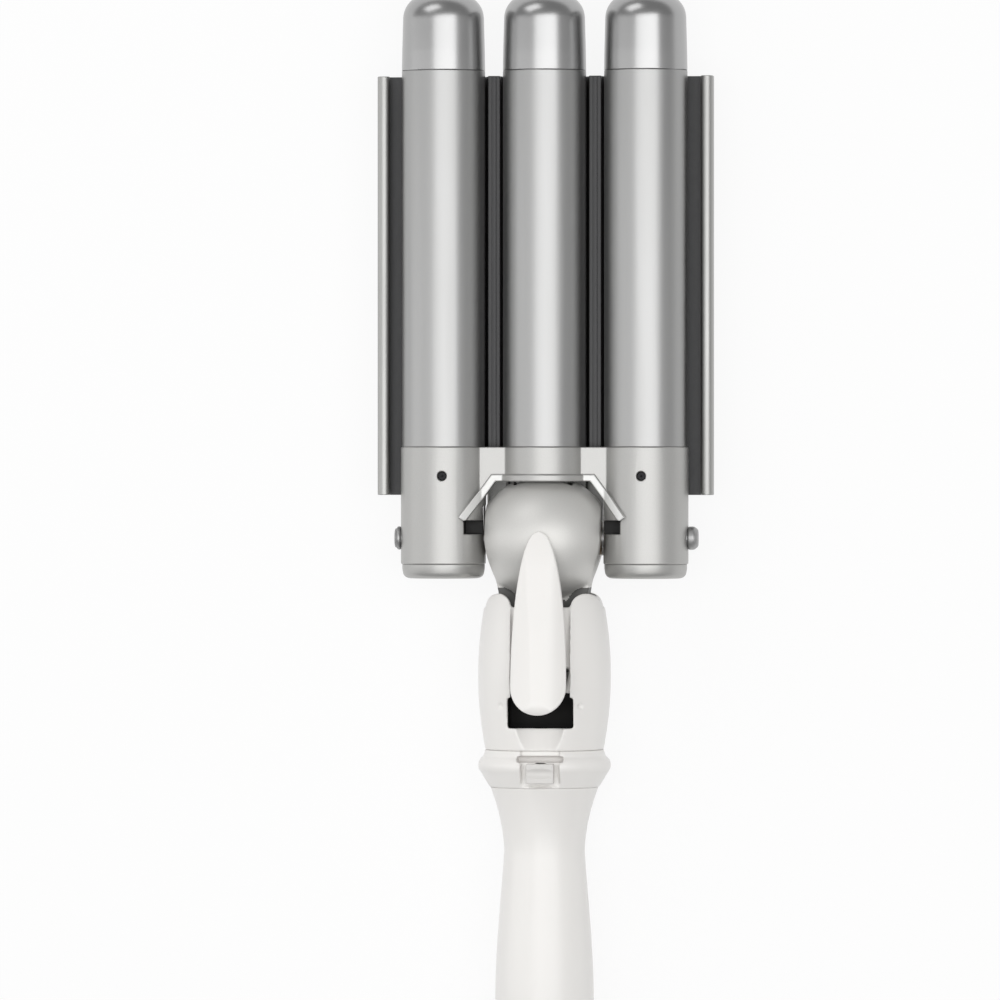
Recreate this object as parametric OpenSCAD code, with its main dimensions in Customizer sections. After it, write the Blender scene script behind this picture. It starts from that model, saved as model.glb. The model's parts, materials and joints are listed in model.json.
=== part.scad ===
// Three-barrel hair waver lying on its back, front face up.
// X runs across the barrels, Y from the grip to the tips, Z up from the surface it rests on.
// Every module draws in the hinge frame: the jaw's hinge axle is the X axis.

/* [Barrels] */
// Outside diameter of each barrel
barrel_d = 25; // [22:0.5:28]
// Clear gap between neighbouring barrels
barrel_gap = 5.4; // [5:0.1:7]
// Distance from the hinge axle to the foot of the tubes
tube_foot = 27.3; // [26:0.1:31]
// Length of each tube
tube_len = 112.7; // [95:0.1:140]
// Wall of each tube
tube_wall = 1.2; // [1:0.1:1.6]
// Length of each tip beyond its tube
tip_len = 24; // [20:0.5:30]
// Rounding of each tip's crown
tip_round = 8.5; // [6:0.1:10]
// Length of the spigots that hold tubes and tips together
spigot_len = 8; // [6:0.5:12]

/* [Heaters] */
// Space between each heater core and the spigot of its tip
core_space = 8; // [1:0.5:20]
// Thickness of each ceramic heater strip
strip_t = 3.4; // [2.4:0.1:4.4]
// Width of each ceramic heater strip
strip_w = 15; // [10:0.5:17]

/* [Barrel holder] */
// How far the holder's sockets stand proud of the barrels
socket_step = 0.3; // [0.2:0.05:0.5]
// Length of the outer sleeves below the hinge axle, without their end caps
sleeve_drop = 7.8; // [7:0.1:12]
// Thickness of the sleeves' end caps
sleeve_cap_t = 4.3; // [3:0.1:6]
// Height of the middle lip above the hinge axle
lip_y = 17; // [17:0.1:20]
// Width of the raised rim along the holder's lower edge
rim_w = 2; // [1.5:0.1:3]
// Height of the raised rim above the holder's skin
rim_h = 1.1; // [0.6:0.1:1.6]
// Bore of the wire ways inside the sockets
socket_bore_d = 18; // [14:0.5:19]

/* [Hinge] */
// Diameter of the hinge axle
axle_d = 6; // [5:0.5:7]
// Diameter of the axle's head and nut
axle_head_d = 7; // [7:0.5:9]
// Height of the axle's head
axle_head_t = 1.8; // [1.5:0.1:3]
// Height of the axle's dome nut
axle_nut_t = 3; // [2.4:0.1:5]
// Radial running clearance of the axle in its bushes
run_gap = 0.04; // [0.02:0.01:0.08]
// Largest opening angle of the jaw
jaw_open = 11; // [8:0.5:11]

/* [Knuckle] */
// Radius of the knuckle's drum
drum_r = 19; // [18:0.1:19]
// Radius of the drum's crown across its width
drum_crown = 21; // [20:0.5:30]
// Gap between the knuckle and the sleeves beside it
side_gap = 0.3; // [0.3:0.05:0.6]
// Wall of the knuckle
knuckle_wall = 2.6; // [2:0.1:3.2]
// Half width of the neck that enters the handle
neck_w = 13.3; // [12:0.1:13.6]
// Length of the neck below the hinge axle
neck_len = 40; // [38:0.5:42]

/* [Press plate] */
// Thickness of the sheet
sheet_t = 1.2; // [0.8:0.1:1.4]
// Gap between the channels and the barrels
channel_gap = 0.9; // [0.8:0.05:1.2]
// Height of the plate's lower edge above the hinge axle
plate_foot = 12.9; // [12.5:0.1:16]
// Length of the plate
plate_len = 125.7; // [110:0.1:140]
// Radius of the rolled bead along each outer edge
bead_r = 1.85; // [1.4:0.05:2.2]
// Width of the flange between each outer channel and its bead
flange_w = 4.4; // [4:0.1:8]
// Depth of the flange behind the barrels' axes
flange_z = 6; // [5:0.1:8]

/* [Rear arm] */
// Distance from the barrels' axes to the surface the waver rests on
rest_depth = 19.2; // [19.2:0.1:21]
// Width of the rear arm
arm_w = 24; // [20:1:26]
// Width of the arm's foot behind the knuckle
arm_foot_w = 37; // [30:0.5:37]
// Height of the arm's upper end above the hinge axle
arm_top = 60; // [50:1:80]

/* [Thumb lever] */
// Half width of the lever at its lower end
lever_w = 8.3; // [7.5:0.1:8.4]
// Height of the lever's point above the hinge axle
lever_top = 2.4; // [0:0.1:3]
// Length of the lever below the hinge axle
lever_len = 52.4; // [50:0.1:52.4]
// Thickness of the lever at its middle
lever_t = 5; // [4:0.1:6]
// Gap between the drum and the lever
lever_gap = 0.8; // [0.6:0.05:1.2]
// Angle at which the lever's lower end stands off the handle
lever_rise = 8; // [4:0.5:8]

/* [Head] */
// Largest radius of the head
head_r_max = 19.9; // [19.6:0.1:21]
// Radius of the head's long bow
head_bow = 115; // [100:1:160]
// Wall of the handle's shells
shell_wall = 2; // [1.8:0.1:2.4]
// Distance from the hinge axle to the head's upper edge
head_top = 16.5; // [16.3:0.1:18]
// Distance from the hinge axle to the collar's upper edge
collar_top = 63.4; // [62:0.1:68]
// Half width of the lever's channel
channel_w = 8.9; // [8.9:0.05:9.6]
// Half width of the window below the lever
window_w = 9.8; // [9.7:0.1:10.6]
// Distance from the hinge axle to the window's lower edge
window_end = 56.6; // [56.6:0.1:59]

/* [Collar and lock] */
// Length of the collar
collar_len = 11.2; // [10:0.1:14]
// Largest radius of the collar
collar_r = 19.95; // [19.5:0.05:21]
// Half width of the lock slider's channel
lock_channel_w = 5.8; // [5.2:0.1:6.5]
// Width of the lock slider
lock_w = 8.2; // [6:0.1:9]
// Length of the lock slider
lock_len = 5.9; // [5:0.1:7]
// Travel of the lock slider
lock_travel = 2.4; // [2:0.1:3.5]

/* [Grip] */
// Radius of the grip at its waist
waist_r = 12.1; // [11.5:0.1:13]
// Distance from the hinge axle to the grip's waist
waist_y = 94; // [92:1:100]
// Radius of the grip at the palm
palm_r = 14.8; // [14.5:0.1:16.5]
// Distance from the hinge axle to the palm
palm_y = 140; // [130:1:142]
// Radius of the grip at its lower end
butt_r = 15.3; // [14.8:0.1:17]
// Distance from the hinge axle to the grip shells' lower end
grip_end = 196; // [196:1:210]

/* [Controls] */
// Distance from the hinge axle to the panel's upper edge
panel_top = 145; // [143:1:150]
// Length of the panel
panel_len = 43; // [41:0.5:46]
// Half width of the control panel
panel_w = 7; // [6.5:0.1:8]
// Diameter of the plus and minus buttons
small_button_d = 7; // [6:0.1:7.5]
// Diameter of the power button
power_button_d = 8; // [7:0.1:8.5]
// Travel of the buttons
button_travel = 0.6; // [0.4:0.05:0.8]
// Spacing of the buttons
button_pitch = 10.4; // [10:0.1:11]

/* [Cord inlet] */
// Bore of the swivel gland for the cord
cord_bore_d = 5.5; // [5:0.1:6.5]
// Length of the gland beyond the end cap
gland_out = 10; // [8:0.5:16]

/* [Hidden] */
$fn = 64;

// Fits
slip = 0.05;    // radial clearance of parts pushed together
seat = 0.02;    // radial clearance of pins and screws in their holes
far = 400;      // longer than the whole object, for cuts that run right through
eps = 0.01;

// Barrels
barrel_r = barrel_d / 2;
pitch = barrel_d + barrel_gap;
barrel_x = [-pitch, 0, pitch];
tube_in_r = barrel_r - tube_wall;
tube_top = tube_foot + tube_len;
tip_top = tube_top + tip_len;
spigot_r = tube_in_r - slip;
core_foot = tube_foot + spigot_len + 0.7;
core_top = tube_top - spigot_len - core_space;

// Barrel holder
socket_r = barrel_r + socket_step;
socket_bore_r = socket_bore_d / 2;
sleeve_foot = -sleeve_drop - sleeve_cap_t;
web_z0 = 1;         // the webs stand in front of the plate's ridges
web_z1 = 6;
boss_top = 8;       // the sleeves are solid round the axle up to here
gusset_foot = 5;    // lower ends of the slanting edges
gusset_x = pitch - 7.4;
lip_x = 14.3;
drum_clear = 0.6;
cap_edge = 0.4;
cap_spigot = 2.4;
tunnel_y = [tube_foot - 5.8, tube_foot - 2.8];
screw_hole_y = 18.6;
screw_hole_x = pitch - 0.6;
holder_screw_r = 1;
screw_bore_r = 1.4;
screw_sink = 2.6;

// Hinge
axle_r = axle_d / 2;
axle_thread_r = axle_r - 0.6;
bush_r = axle_r + 2;
bush_flange_r = bush_r + 1.5;
bush_flange_t = 1;
hub_r = 7;
hub_w = 3.8;
yoke_w = 2.2;
sleeve_out = pitch + socket_r;

// Knuckle
knuckle_w = pitch - socket_r - side_gap;
bush_in = knuckle_w - 5;
neck_r = 15.1;
neck_front = 5;
wire_way_w = 8.6;
wire_way_z = [-6, 6.4];
loom_way_w = 6.5;
loom_way_z = [-9, 2.2];

// Press plate
channel_r = barrel_r + channel_gap;
channel_out_r = channel_r + sheet_t;
plate_top = plate_foot + plate_len;
bead_x = pitch + sqrt(pow(channel_r, 2) - pow(flange_z, 2)) + flange_w + bead_r;
bead_z = -2.2;
notch_top = drum_r + 1;
notch_w = knuckle_w + side_gap + 0.6;
rivet_ys = [34, 44, 54];
rivet_r = 1.5;
rivet_head_r = 2.6;

// Thumb lever
lever_back = drum_r + lever_gap;
lever_front = lever_back + lever_t;
spring_y = -neck_len + 10;
spring_r = 3.4;
spring_wire = 0.45;
spring_turns = 6;
spring_peg_r = 2.2;
spring_hole_r = spring_r + 1.2;
spring_swing = 4;   // the upper end of the spring swings this far towards the grip
foot_w = 4.4;
foot_t = 2.2;
foot_y = [-16.4, -8.5];
lever_screw_x = 2.4;
lever_screw_y = -13.6;

// The lever's back is flat down to the bend, and rises from there
bend_y = foot_y[0] - 0.6;
bend_soft = 14;     // the front follows the bend over this length
function back_z(y) = lever_back + max(0, bend_y - y) * tan(lever_rise);
function bend_past(y) = max(0, bend_y + bend_soft / 2 - y);
function front_lift(y) = tan(lever_rise) * (bend_past(y) < bend_soft
    ? pow(bend_past(y), 2) / (2 * bend_soft) : bend_past(y) - bend_soft / 2);

// Head: the channel's floor stays under the lever at full press
press_drop = 0.8;
pressed_bend = [bend_y * cos(jaw_open) - lever_back * sin(jaw_open), bend_y * sin(jaw_open) + lever_back * cos(jaw_open)];
function pressed_z(y) = pressed_bend[1]
    + (y - pressed_bend[0]) * tan(y > pressed_bend[0] ? jaw_open : jaw_open - lever_rise);
function floor_z(y) = pressed_z(y) - press_drop;
floor_t = 1.6;
floor_end = -neck_len - 6.2;
window_top = floor_end - 1.2;
lobe_r = 4.2;
well_wall = 1;
well_y = [-window_end - 2, floor_end - 0.2];
well_floor = 2;
scoop_w = 6;
scoop_floor = 15.5;
scoop_r = 9;
scoop_dip = 1.6;
scoop_tilt = 20;
scoop_wall = 2.4;   // of the pad behind the scoop
head_mid = -41;
head_top_y = -head_top;
head_screw_y = -50;
head_screw_x = 14.3;
neck_screw_x = 9.8;
neck_screw_y = -26;
boss_r = 2.3;
screw_r = 1.3;
screw_head_r = 2.3;
screw_head_t = 1.4;
head_seat = -8.5;
neck_seat = -14;
boss_foot_r = screw_head_r + 1.1;

// Collar
collar_top_y = -collar_top;
collar_end_y = collar_top_y - collar_len;
collar_bore_r = 13.2;
collar_rib_y = collar_top_y - 4.6;
collar_foot_r = 16.2;
lock_y0 = collar_end_y + 1.6;
stem_w = 1.5;
stem_y = [lock_y0 + 2.1, lock_y0 + 3.5];   // at rest the slider covers the stem's slot
foot_z = 11.2;
band_w = 6.9;       // cross groove between the scoop and the slider
band_y = [-3.3, -1.5];
band_floor = 14.4;

// Grip
waist_at = -waist_y;
palm_at = -palm_y;
grip_end_y = -grip_end;
grip_foot_r = butt_r - 0.2;
cap_len = 8;
cap_end_y = grip_end_y - cap_len;
cap_round = 4;

// Controls
panel_end = panel_top + panel_len;
panel_t = 2;
panel_sink = 0.2;
lens_margin = 2.5;
lens_len = 8.5;
lens_y = [-panel_top - lens_margin - lens_len, -panel_top - lens_margin];
lens_w = 5;
first_button = 16.6;
plus_y = -panel_top - first_button;
minus_y = plus_y - button_pitch;
power_y = minus_y - button_pitch;
button_proud = 0.4;
flange_top = 11.9;
flange_t = 0.8;
flange_out = 0.8;
button_gap = 0.15;
board_z = 5.6;
board_t = 1.6;
board_w = 8.6;
board_y = [-panel_end, -panel_top + 2];
module_top = 10.8;
post_x = 6.4;
post_pitch = 32.4;
post_y = [-panel_top, -panel_top - post_pitch];
post_r = 2.1;
board_screw_r = 0.9;

// Cord inlet
gland_r = 6;
gland_end_y = cap_end_y - gland_out;
gland_flange_r = 7.8;
gland_flange_t = 1.9;
gland_lip_t = 2;
ring_disc_r = 7.2;
ring_disc_t = 2.2;
ring_t = 0.6;
brush_gap = 0.3;

// Place in the object's own frame: bottom centre of the bounding box at the origin
shift_y = -(tip_top + gland_end_y) / 2;

// Helpers

module placed() {
    translate([0, shift_y, rest_depth]) children();
}

module along_y() {
    rotate([-90, 0, 0]) children();
}

module along_x() {
    rotate([0, 90, 0]) children();
}

module rod_y(r, y0, y1, x = 0, z = 0) {
    translate([x, y0, z]) along_y() cylinder(r = r, h = y1 - y0);
}

module rod_x(r, x0, x1, y = 0, z = 0) {
    translate([x0, y, z]) along_x() cylinder(r = r, h = x1 - x0);
}

module rod_z(r, z0, z1, x = 0, y = 0) {
    translate([x, y, z0]) cylinder(r = r, h = z1 - z0);
}

module cone_y(r0, r1, y0, y1) {
    translate([0, y0, 0]) along_y() cylinder(r1 = r0, r2 = r1, h = y1 - y0);
}

module box(x, y, z) {
    translate([x[0], y[0], z[0]]) cube([x[1] - x[0], y[1] - y[0], z[1] - z[0]]);
}

// A solid of revolution about the Y axis from points [radius, y]
module revolve_y(points) {
    along_y() rotate_extrude() polygon(points);
}

// A plate drawn by its outline in YZ, thick in X
module plate_x(points, x0, x1) {
    translate([x0, 0, 0]) rotate([90, 0, 90]) linear_extrude(x1 - x0) polygon(points);
}

module both_sides() {
    children();
    mirror([1, 0, 0]) children();
}

module front_half() {
    intersection() {
        children();
        box([-far, far], [-far, far], [0, far]);
    }
}

module rear_half() {
    intersection() {
        children();
        box([-far, far], [-far, far], [-far, 0]);
    }
}

// Points on an arc, from angle a0 to a1
function arc(cx, cy, r, a0, a1, n = 8) =
    [for (i = [0:n]) [cx + r * cos(a0 + (a1 - a0) * i / n), cy + r * sin(a0 + (a1 - a0) * i / n)]];

function ease(t) = t * t * (3 - 2 * t);

// A round wire swept along a path; each ring stands square to the bend it is in
wire_sides = 8;
function unit(v) = v / norm(v);
function heading(points, i) =
    i == 0 ? unit(points[1] - points[0])
    : i == len(points) - 1 ? unit(points[i] - points[i - 1])
    : unit(unit(points[i] - points[i - 1]) + unit(points[i + 1] - points[i]));
function across(points, i, before) = let (t = heading(points, i)) unit(before - t * (before * t));
function sides_of(points, i = 0, before = [0.31, 0.23, 0.92]) =
    i == len(points) ? [] : let (n = across(points, i, before)) concat([n], sides_of(points, i + 1, n));

module wire(points, r) {
    n = len(points);
    normals = sides_of(points);
    ring = [for (i = [0:n - 1]) let (u = normals[i], v = cross(heading(points, i), u))
        for (j = [0:wire_sides - 1]) let (b = 360 * j / wire_sides) points[i] + r * (u * cos(b) + v * sin(b))];
    skin = [for (i = [0:n - 2]) for (j = [0:wire_sides - 1]) let (k = (j + 1) % wire_sides)
        [i * wire_sides + j, (i + 1) * wire_sides + j, (i + 1) * wire_sides + k, i * wire_sides + k]];
    ends = [[for (j = [0:wire_sides - 1]) j],
        [for (j = [wire_sides - 1:-1:0]) (n - 1) * wire_sides + j]];
    polyhedron(ring, concat(skin, ends));
}

// Outlines that several parts share

// The knuckle's ball: a drum about the axle, crowned across its width
module drum(grow = 0, half = knuckle_w) {
    along_x() rotate_extrude() intersection() {
        translate([drum_r - drum_crown, 0]) circle(drum_crown + grow, $fn = 128);
        translate([0, -half]) square([far, 2 * half]);
    }
}

// Half width of the knuckle, seen from the front, as it narrows into the neck
taper_y = [-18.4, -0.4];
taper_steps = 8;
function taper_x(t) = knuckle_w + (neck_w - knuckle_w) * ease(t);
function taper_side() =
    [for (i = [0:taper_steps]) [taper_x(i / taper_steps), taper_y[1] + (taper_y[0] - taper_y[1]) * i / taper_steps]];
function flip(points) = [for (i = [len(points) - 1:-1:0]) [-points[i][0], points[i][1]]];

module knuckle_outline() {
    side = concat([[knuckle_w, far]], taper_side(), [[neck_w, -neck_len]]);
    polygon(concat(side, flip(side)));
}

module knuckle_body() {
    intersection() {
        union() {
            drum();
            intersection() {
                rod_y(neck_r, -neck_len, -8);
                box([-far, far], [-far, far], [-far, neck_front]);
            }
        }
        translate([0, 0, -far]) linear_extrude(2 * far) knuckle_outline();
    }
}

function head_r(y) = head_r_max - head_bow + sqrt(head_bow * head_bow - pow(y - head_mid, 2));

// The head's round form, bowed by one long arc; over lengthens it at both ends, to cut it hollow
module head_solid(cut = 0, over = 0) {
    along_y() rotate_extrude() intersection() {
        translate([head_r_max - cut - head_bow, head_mid]) circle(head_bow, $fn = 300);
        translate([0, collar_top_y - over]) square([head_bow, head_top_y - collar_top_y + 2 * over]);
    }
}

// Radius of the grip: a hollow below the collar, a waist, a swelling palm and a straight end
function grip_r(y) =
    y > waist_at ? waist_r + (collar_foot_r - waist_r) * pow((y - waist_at) / (collar_end_y - waist_at), 1.8)
    : y > palm_at ? waist_r + (palm_r - waist_r) * pow(sin(90 * (y - waist_at) / (palm_at - waist_at)), 1.2)
    : palm_r + (butt_r - palm_r) * ease((y - palm_at) / (grip_end_y - palm_at));
grip_steps = [10, 12, 6];
function grip_run(y0, y1, n, cut) = [for (i = [0:n - 1]) let (y = y0 + (y1 - y0) * i / n) [grip_r(y) - cut, y]];
function grip_side(cut) = concat(
    grip_run(collar_end_y, waist_at, grip_steps[0], cut),
    grip_run(waist_at, palm_at, grip_steps[1], cut),
    grip_run(palm_at, grip_end_y, grip_steps[2], cut),
    [[butt_r - cut, grip_end_y]]
);

module grip_solid(cut = 0, over = 0) {
    revolve_y(concat(
        [[0, collar_end_y + over], [collar_foot_r - cut, collar_end_y + over]], grip_side(cut),
        [[butt_r - cut, grip_end_y - over], [0, grip_end_y - over]]
    ));
}

module above_rest() {
    intersection() {
        children();
        box([-far, far], [-far, far], [-rest_depth, far]);
    }
}

// Barrels

module barrel_tube(x) {
    difference() {
        rod_y(barrel_r, tube_foot, tube_top, x);
        rod_y(tube_in_r, tube_foot - 1, tube_top + 1, x);
    }
}

// A hollow crown with a spigot that plugs into its tube
module barrel_tip(x) {
    crown_r = barrel_r - 0.35;
    corner_y = tip_top - 0.4 - tip_round;
    translate([x, 0, 0]) {
        difference() {
            revolve_y(concat(
                [[0, tube_top], [barrel_r, tube_top], [barrel_r - 0.1, tube_top + 6], [crown_r, corner_y]],
                arc(crown_r - tip_round, corner_y, tip_round, 9, 84, 9),
                [[0, tip_top]]
            ));
            rod_y(spigot_r - 2, tube_top - 1, corner_y - 1);
        }
        difference() {
            rod_y(spigot_r, tube_top - spigot_len, tube_top);
            rod_y(spigot_r - 2, tube_top - spigot_len - 1, tube_top + 1);
        }
    }
}

// Two half-round aluminium bars with a slot between them for the heater strip
module heater_core(x) {
    difference() {
        rod_y(tube_in_r - slip, core_foot, core_top, x);
        box([x - far, x + far], [core_foot - 1, core_top + 1], [-strip_t / 2, strip_t / 2]);
        if (x == 0) rod_y(1.25, core_foot - 1, core_foot + 12, 0, -6.5);
    }
}

module heater_strips() {
    color("ivory") for (x = barrel_x) {
        box([x - strip_w / 2, x + strip_w / 2], [core_foot + 1, core_top - 1], [-strip_t / 2, strip_t / 2]);
    }
}

module temperature_sensor() {
    color("black") rod_y(1.2, core_foot - 1.5, core_foot + 10, 0, -6.5);
}

module thermal_fuse() {
    color("silver") rod_y(1.8, core_foot - 9, core_foot, 0, 6.2);
}

// One sleeved pair from each core down to the hinge
lead_r = 1.2;
lead_z = (web_z0 + web_z1) / 2;
lead_x = 6.3;
module heater_leads() {
    color("white") {
        for (s = [-1, 1]) wire([
            [s * pitch, core_foot, lead_z], [s * pitch, (tunnel_y[0] + tunnel_y[1]) / 2, lead_z],
            [s * lead_x, (tunnel_y[0] + tunnel_y[1]) / 2, lead_z], [s * lead_x, drum_r + 1.5, -2], [s * lead_x, 9.2, -3]
        ], lead_r);
        wire([[0, core_foot, -3], [0, drum_r + 1.5, -3], [0, 9.2, -3]], lead_r);
    }
}

// Barrel holder

// The slanting lower edge, from the middle lip out to the sleeves
module holder_edge(width) {
    side = [[lip_x, lip_y], [gusset_x, gusset_foot]];
    polygon([
        [side[0][0], lip_y], side[1], [side[1][0] + width * 0.9, gusset_foot + width * 0.6],
        [lip_x + width * 0.55, lip_y + width], [-lip_x - width * 0.55, lip_y + width],
        [-side[1][0] - width * 0.9, gusset_foot + width * 0.6], [-side[1][0], gusset_foot], [-lip_x, lip_y]
    ]);
}

module holder_web() {
    translate([0, 0, web_z0]) linear_extrude(web_z1 - web_z0) polygon([
        [-pitch, tube_foot], [pitch, tube_foot], [pitch, gusset_foot], [gusset_x, gusset_foot],
        [lip_x, lip_y], [-lip_x, lip_y], [-gusset_x, gusset_foot], [-pitch, gusset_foot]
    ]);
}

// The raised rim follows the sockets' round fronts
module holder_rim() {
    intersection() {
        linear_extrude(far) holder_edge(rim_w);
        union() {
            for (x = barrel_x) rod_y(socket_r + rim_h, 0, tube_foot, x);
            box([-pitch, pitch], [0, tube_foot], [web_z0, web_z1 + rim_h]);
        }
        box([-far, far], [-far, far], [web_z0, far]);
    }
}

module barrel_holder() {
    color("silver") difference() {
        union() {
            for (x = [-pitch, pitch]) rod_y(socket_r, -sleeve_drop, tube_foot, x);
            rod_y(socket_r, lip_y, tube_foot);
            for (x = barrel_x) rod_y(spigot_r, tube_foot - 1, tube_foot + spigot_len, x);
            holder_web();
            holder_rim();
        }
        drum(drum_clear, knuckle_w + drum_clear);
        for (x = [-pitch, pitch]) {
            rod_y(socket_bore_r, boss_top, far, x);
            rod_y(socket_bore_r, -far, -sleeve_drop + cap_spigot, x);
        }
        for (x = [-screw_hole_x, screw_hole_x]) {
            rod_z(holder_screw_r + seat, 0, far, x, screw_hole_y);
            rod_z(screw_bore_r, socket_r - screw_sink, far, x, screw_hole_y);
        }
        rod_y(socket_bore_r, 0, far);
        box([-pitch, pitch], tunnel_y, [lead_z - 1.5, lead_z + 1.5]);
        rod_x(axle_r + seat, -far, far);
        // pockets under the lower ends of the slanting edges
        both_sides() box([pitch - socket_r - 1, gusset_x + 0.4], [gusset_foot - 3.8, gusset_foot + 0.3], [3.6, far]);
    }
}

module sleeve_cap(x) {
    r = socket_r - cap_edge;
    translate([x, 0, 0]) {
        revolve_y([
            [0, -sleeve_drop], [r, -sleeve_drop], [r, sleeve_foot + 1.4], [r - 0.6, sleeve_foot + 0.4],
            [r - 1.8, sleeve_foot], [0, sleeve_foot]
        ]);
        rod_y(socket_bore_r - slip, -sleeve_drop, -sleeve_drop + cap_spigot);
    }
}

module left_sleeve_cap() {
    color("silver") sleeve_cap(-pitch);
}

module right_sleeve_cap() {
    color("silver") sleeve_cap(pitch);
}

module holder_screws() {
    color("dimgray") for (x = [-screw_hole_x, screw_hole_x]) {
        rod_z(holder_screw_r, socket_bore_r - 1, socket_r - screw_sink, x, screw_hole_y);
        rod_z(screw_bore_r - slip, socket_r - screw_sink, socket_r - screw_sink + 0.9, x, screw_hole_y);
    }
}

// Hinge

module hinge_axle() {
    color("gray") difference() {
        union() {
            rod_x(axle_r, -sleeve_out, sleeve_out);
            rod_x(axle_thread_r, sleeve_out, sleeve_out + axle_nut_t - 0.8);
            rod_x(axle_head_d / 2, -sleeve_out - axle_head_t * 0.6, -sleeve_out);
            rod_x(axle_head_d / 2 - 0.6, -sleeve_out - axle_head_t, -sleeve_out);
        }
        rod_z(0.78, -far, far);
    }
}

module axle_nut() {
    color("gray") difference() {
        union() {
            rod_x(axle_head_d / 2, sleeve_out, sleeve_out + axle_nut_t * 0.6);
            translate([sleeve_out + axle_nut_t * 0.6, 0, 0]) along_x()
                cylinder(r1 = axle_head_d / 2, r2 = axle_head_d / 2 - 1, h = axle_nut_t * 0.4);
        }
        rod_x(axle_thread_r + seat, sleeve_out - 1, sleeve_out + axle_nut_t - 0.7);
    }
}

module bush(side) {
    mirror([side < 0 ? 1 : 0, 0, 0]) difference() {
        union() {
            rod_x(bush_r, bush_in, knuckle_w);
            rod_x(bush_flange_r, bush_in - bush_flange_t, bush_in);
        }
        rod_x(axle_r + run_gap, 0, far);
    }
}

module left_bush() {
    color("goldenrod") bush(-1);
}

module right_bush() {
    color("goldenrod") bush(1);
}

// The lever's arm: a hub on the axle, a web through the knuckle's slot and a foot under the lever
module lever_yoke() {
    color("slategray") difference() {
        union() {
            rod_x(hub_r, -hub_w, hub_w);
            plate_x([[0, -3], [-6.4, -1], [foot_y[0] + 4.6, lever_back - foot_t], [foot_y[0] + 4.6, lever_back],
                [foot_y[1], lever_back], [foot_y[1] + 2.6, lever_back - foot_t], [0, 5]], -yoke_w, yoke_w);
            box([-foot_w, foot_w], foot_y, [lever_back - foot_t, lever_back]);
        }
        rod_x(axle_r + seat, -far, far);
        rod_z(0.78, -hub_r - 1, hub_r + 0.2);
        for (x = [-lever_screw_x, lever_screw_x]) rod_z(1 + seat, lever_back - 4, far, x, lever_screw_y);
    }
}

module yoke_pin() {
    color("gray") rod_z(0.76, -hub_r + 0.1, hub_r - 0.2);
}

module lever_screws() {
    color("gray") for (x = [-lever_screw_x, lever_screw_x]) {
        rod_z(1, lever_back - foot_t, lever_back + 2, x, lever_screw_y);
        rod_z(1.7, lever_back - foot_t - 1.1, lever_back - foot_t, x, lever_screw_y);
    }
}

// Thumb lever: a long leaf, pointed at the top and round at its foot
leaf_steps = 16;
leaf_foot = -lever_len + lever_w;
function leaf_x(t) = lever_w * pow(sin(90 * t), 0.58);
function leaf_side() =
    [for (i = [1:leaf_steps]) [leaf_x(i / leaf_steps), lever_top + (leaf_foot - lever_top) * pow(i / leaf_steps, 1.3)]];

module leaf_outline() {
    side = leaf_side();
    polygon(concat([[0, lever_top]], side, arc(0, leaf_foot, lever_w, -7, -173, 22), flip(side)));
}

// Side view [y, z]: the back clears the drum, the front is crowned
front_steps = 12;
foot_round = 6;
function front_share(u) = 0.1 + 0.87 * pow(sin(90 * u), 0.7);   // of the thickness, from the point to the middle
function front_point(u) = let (y = lever_top - u * 30) [y, lever_back + lever_t * front_share(u) + front_lift(y)];
function lever_side() = concat(
    [[lever_top + 1, lever_back]],
    [for (i = [0:front_steps]) front_point(i / front_steps)],
    [for (p = arc(foot_round - lever_len - 2, lever_front - foot_round, foot_round, 88, 140, 10))
        [p[0], p[1] + front_lift(p[0])]],
    [[-lever_len - 1, back_z(-lever_len - 1) + 0.4], [-lever_len - 1, back_z(-lever_len - 1)], [bend_y, lever_back]]
);

module thumb_lever() {
    crown_r = lever_w * 1.5;
    color("white") difference() {
        union() {
            intersection() {
                linear_extrude(far) leaf_outline();
                plate_x(lever_side(), -lever_w - 1, lever_w + 1);
                translate([0, bend_y, lever_front - crown_r]) rotate([-90 - lever_rise, 0, 0])
                    cylinder(r = crown_r, h = far, center = true);
            }
            rod_z(spring_peg_r, back_z(spring_y) - 2, back_z(spring_y) + 1, 0, spring_y);
        }
        for (x = [-lever_screw_x, lever_screw_x]) rod_z(1 + seat, 0, lever_back + 2.1, x, lever_screw_y);
    }
}

// Compression spring that holds the jaw shut, as a swept helix
spring_seg = 16;
spring_sides = 6;
spring_z = [neck_front + spring_wire, back_z(spring_y + spring_r + spring_wire) - spring_wire];
function coil_ring(i) =
    let (a = 360 * i / spring_seg, z = spring_z[0] + (spring_z[1] - spring_z[0]) * i / (spring_seg * spring_turns))
    [for (j = [0:spring_sides - 1]) let (b = 360 * j / spring_sides, q = spring_r + spring_wire * cos(b))
        [q * cos(a), q * sin(a), z + spring_wire * sin(b)]];

module lever_spring() {
    n = spring_seg * spring_turns;
    points = [for (i = [0:n]) each coil_ring(i)];
    sides = [for (i = [0:n - 1]) for (j = [0:spring_sides - 1]) let (k = (j + 1) % spring_sides)
        [i * spring_sides + j, i * spring_sides + k, (i + 1) * spring_sides + k, (i + 1) * spring_sides + j]];
    ends = [[for (j = [spring_sides - 1:-1:0]) j], [for (j = [0:spring_sides - 1]) n * spring_sides + j]];
    color("gray") translate([0, spring_y, 0]) polyhedron(points, concat(sides, ends));
}

// Knuckle

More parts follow.
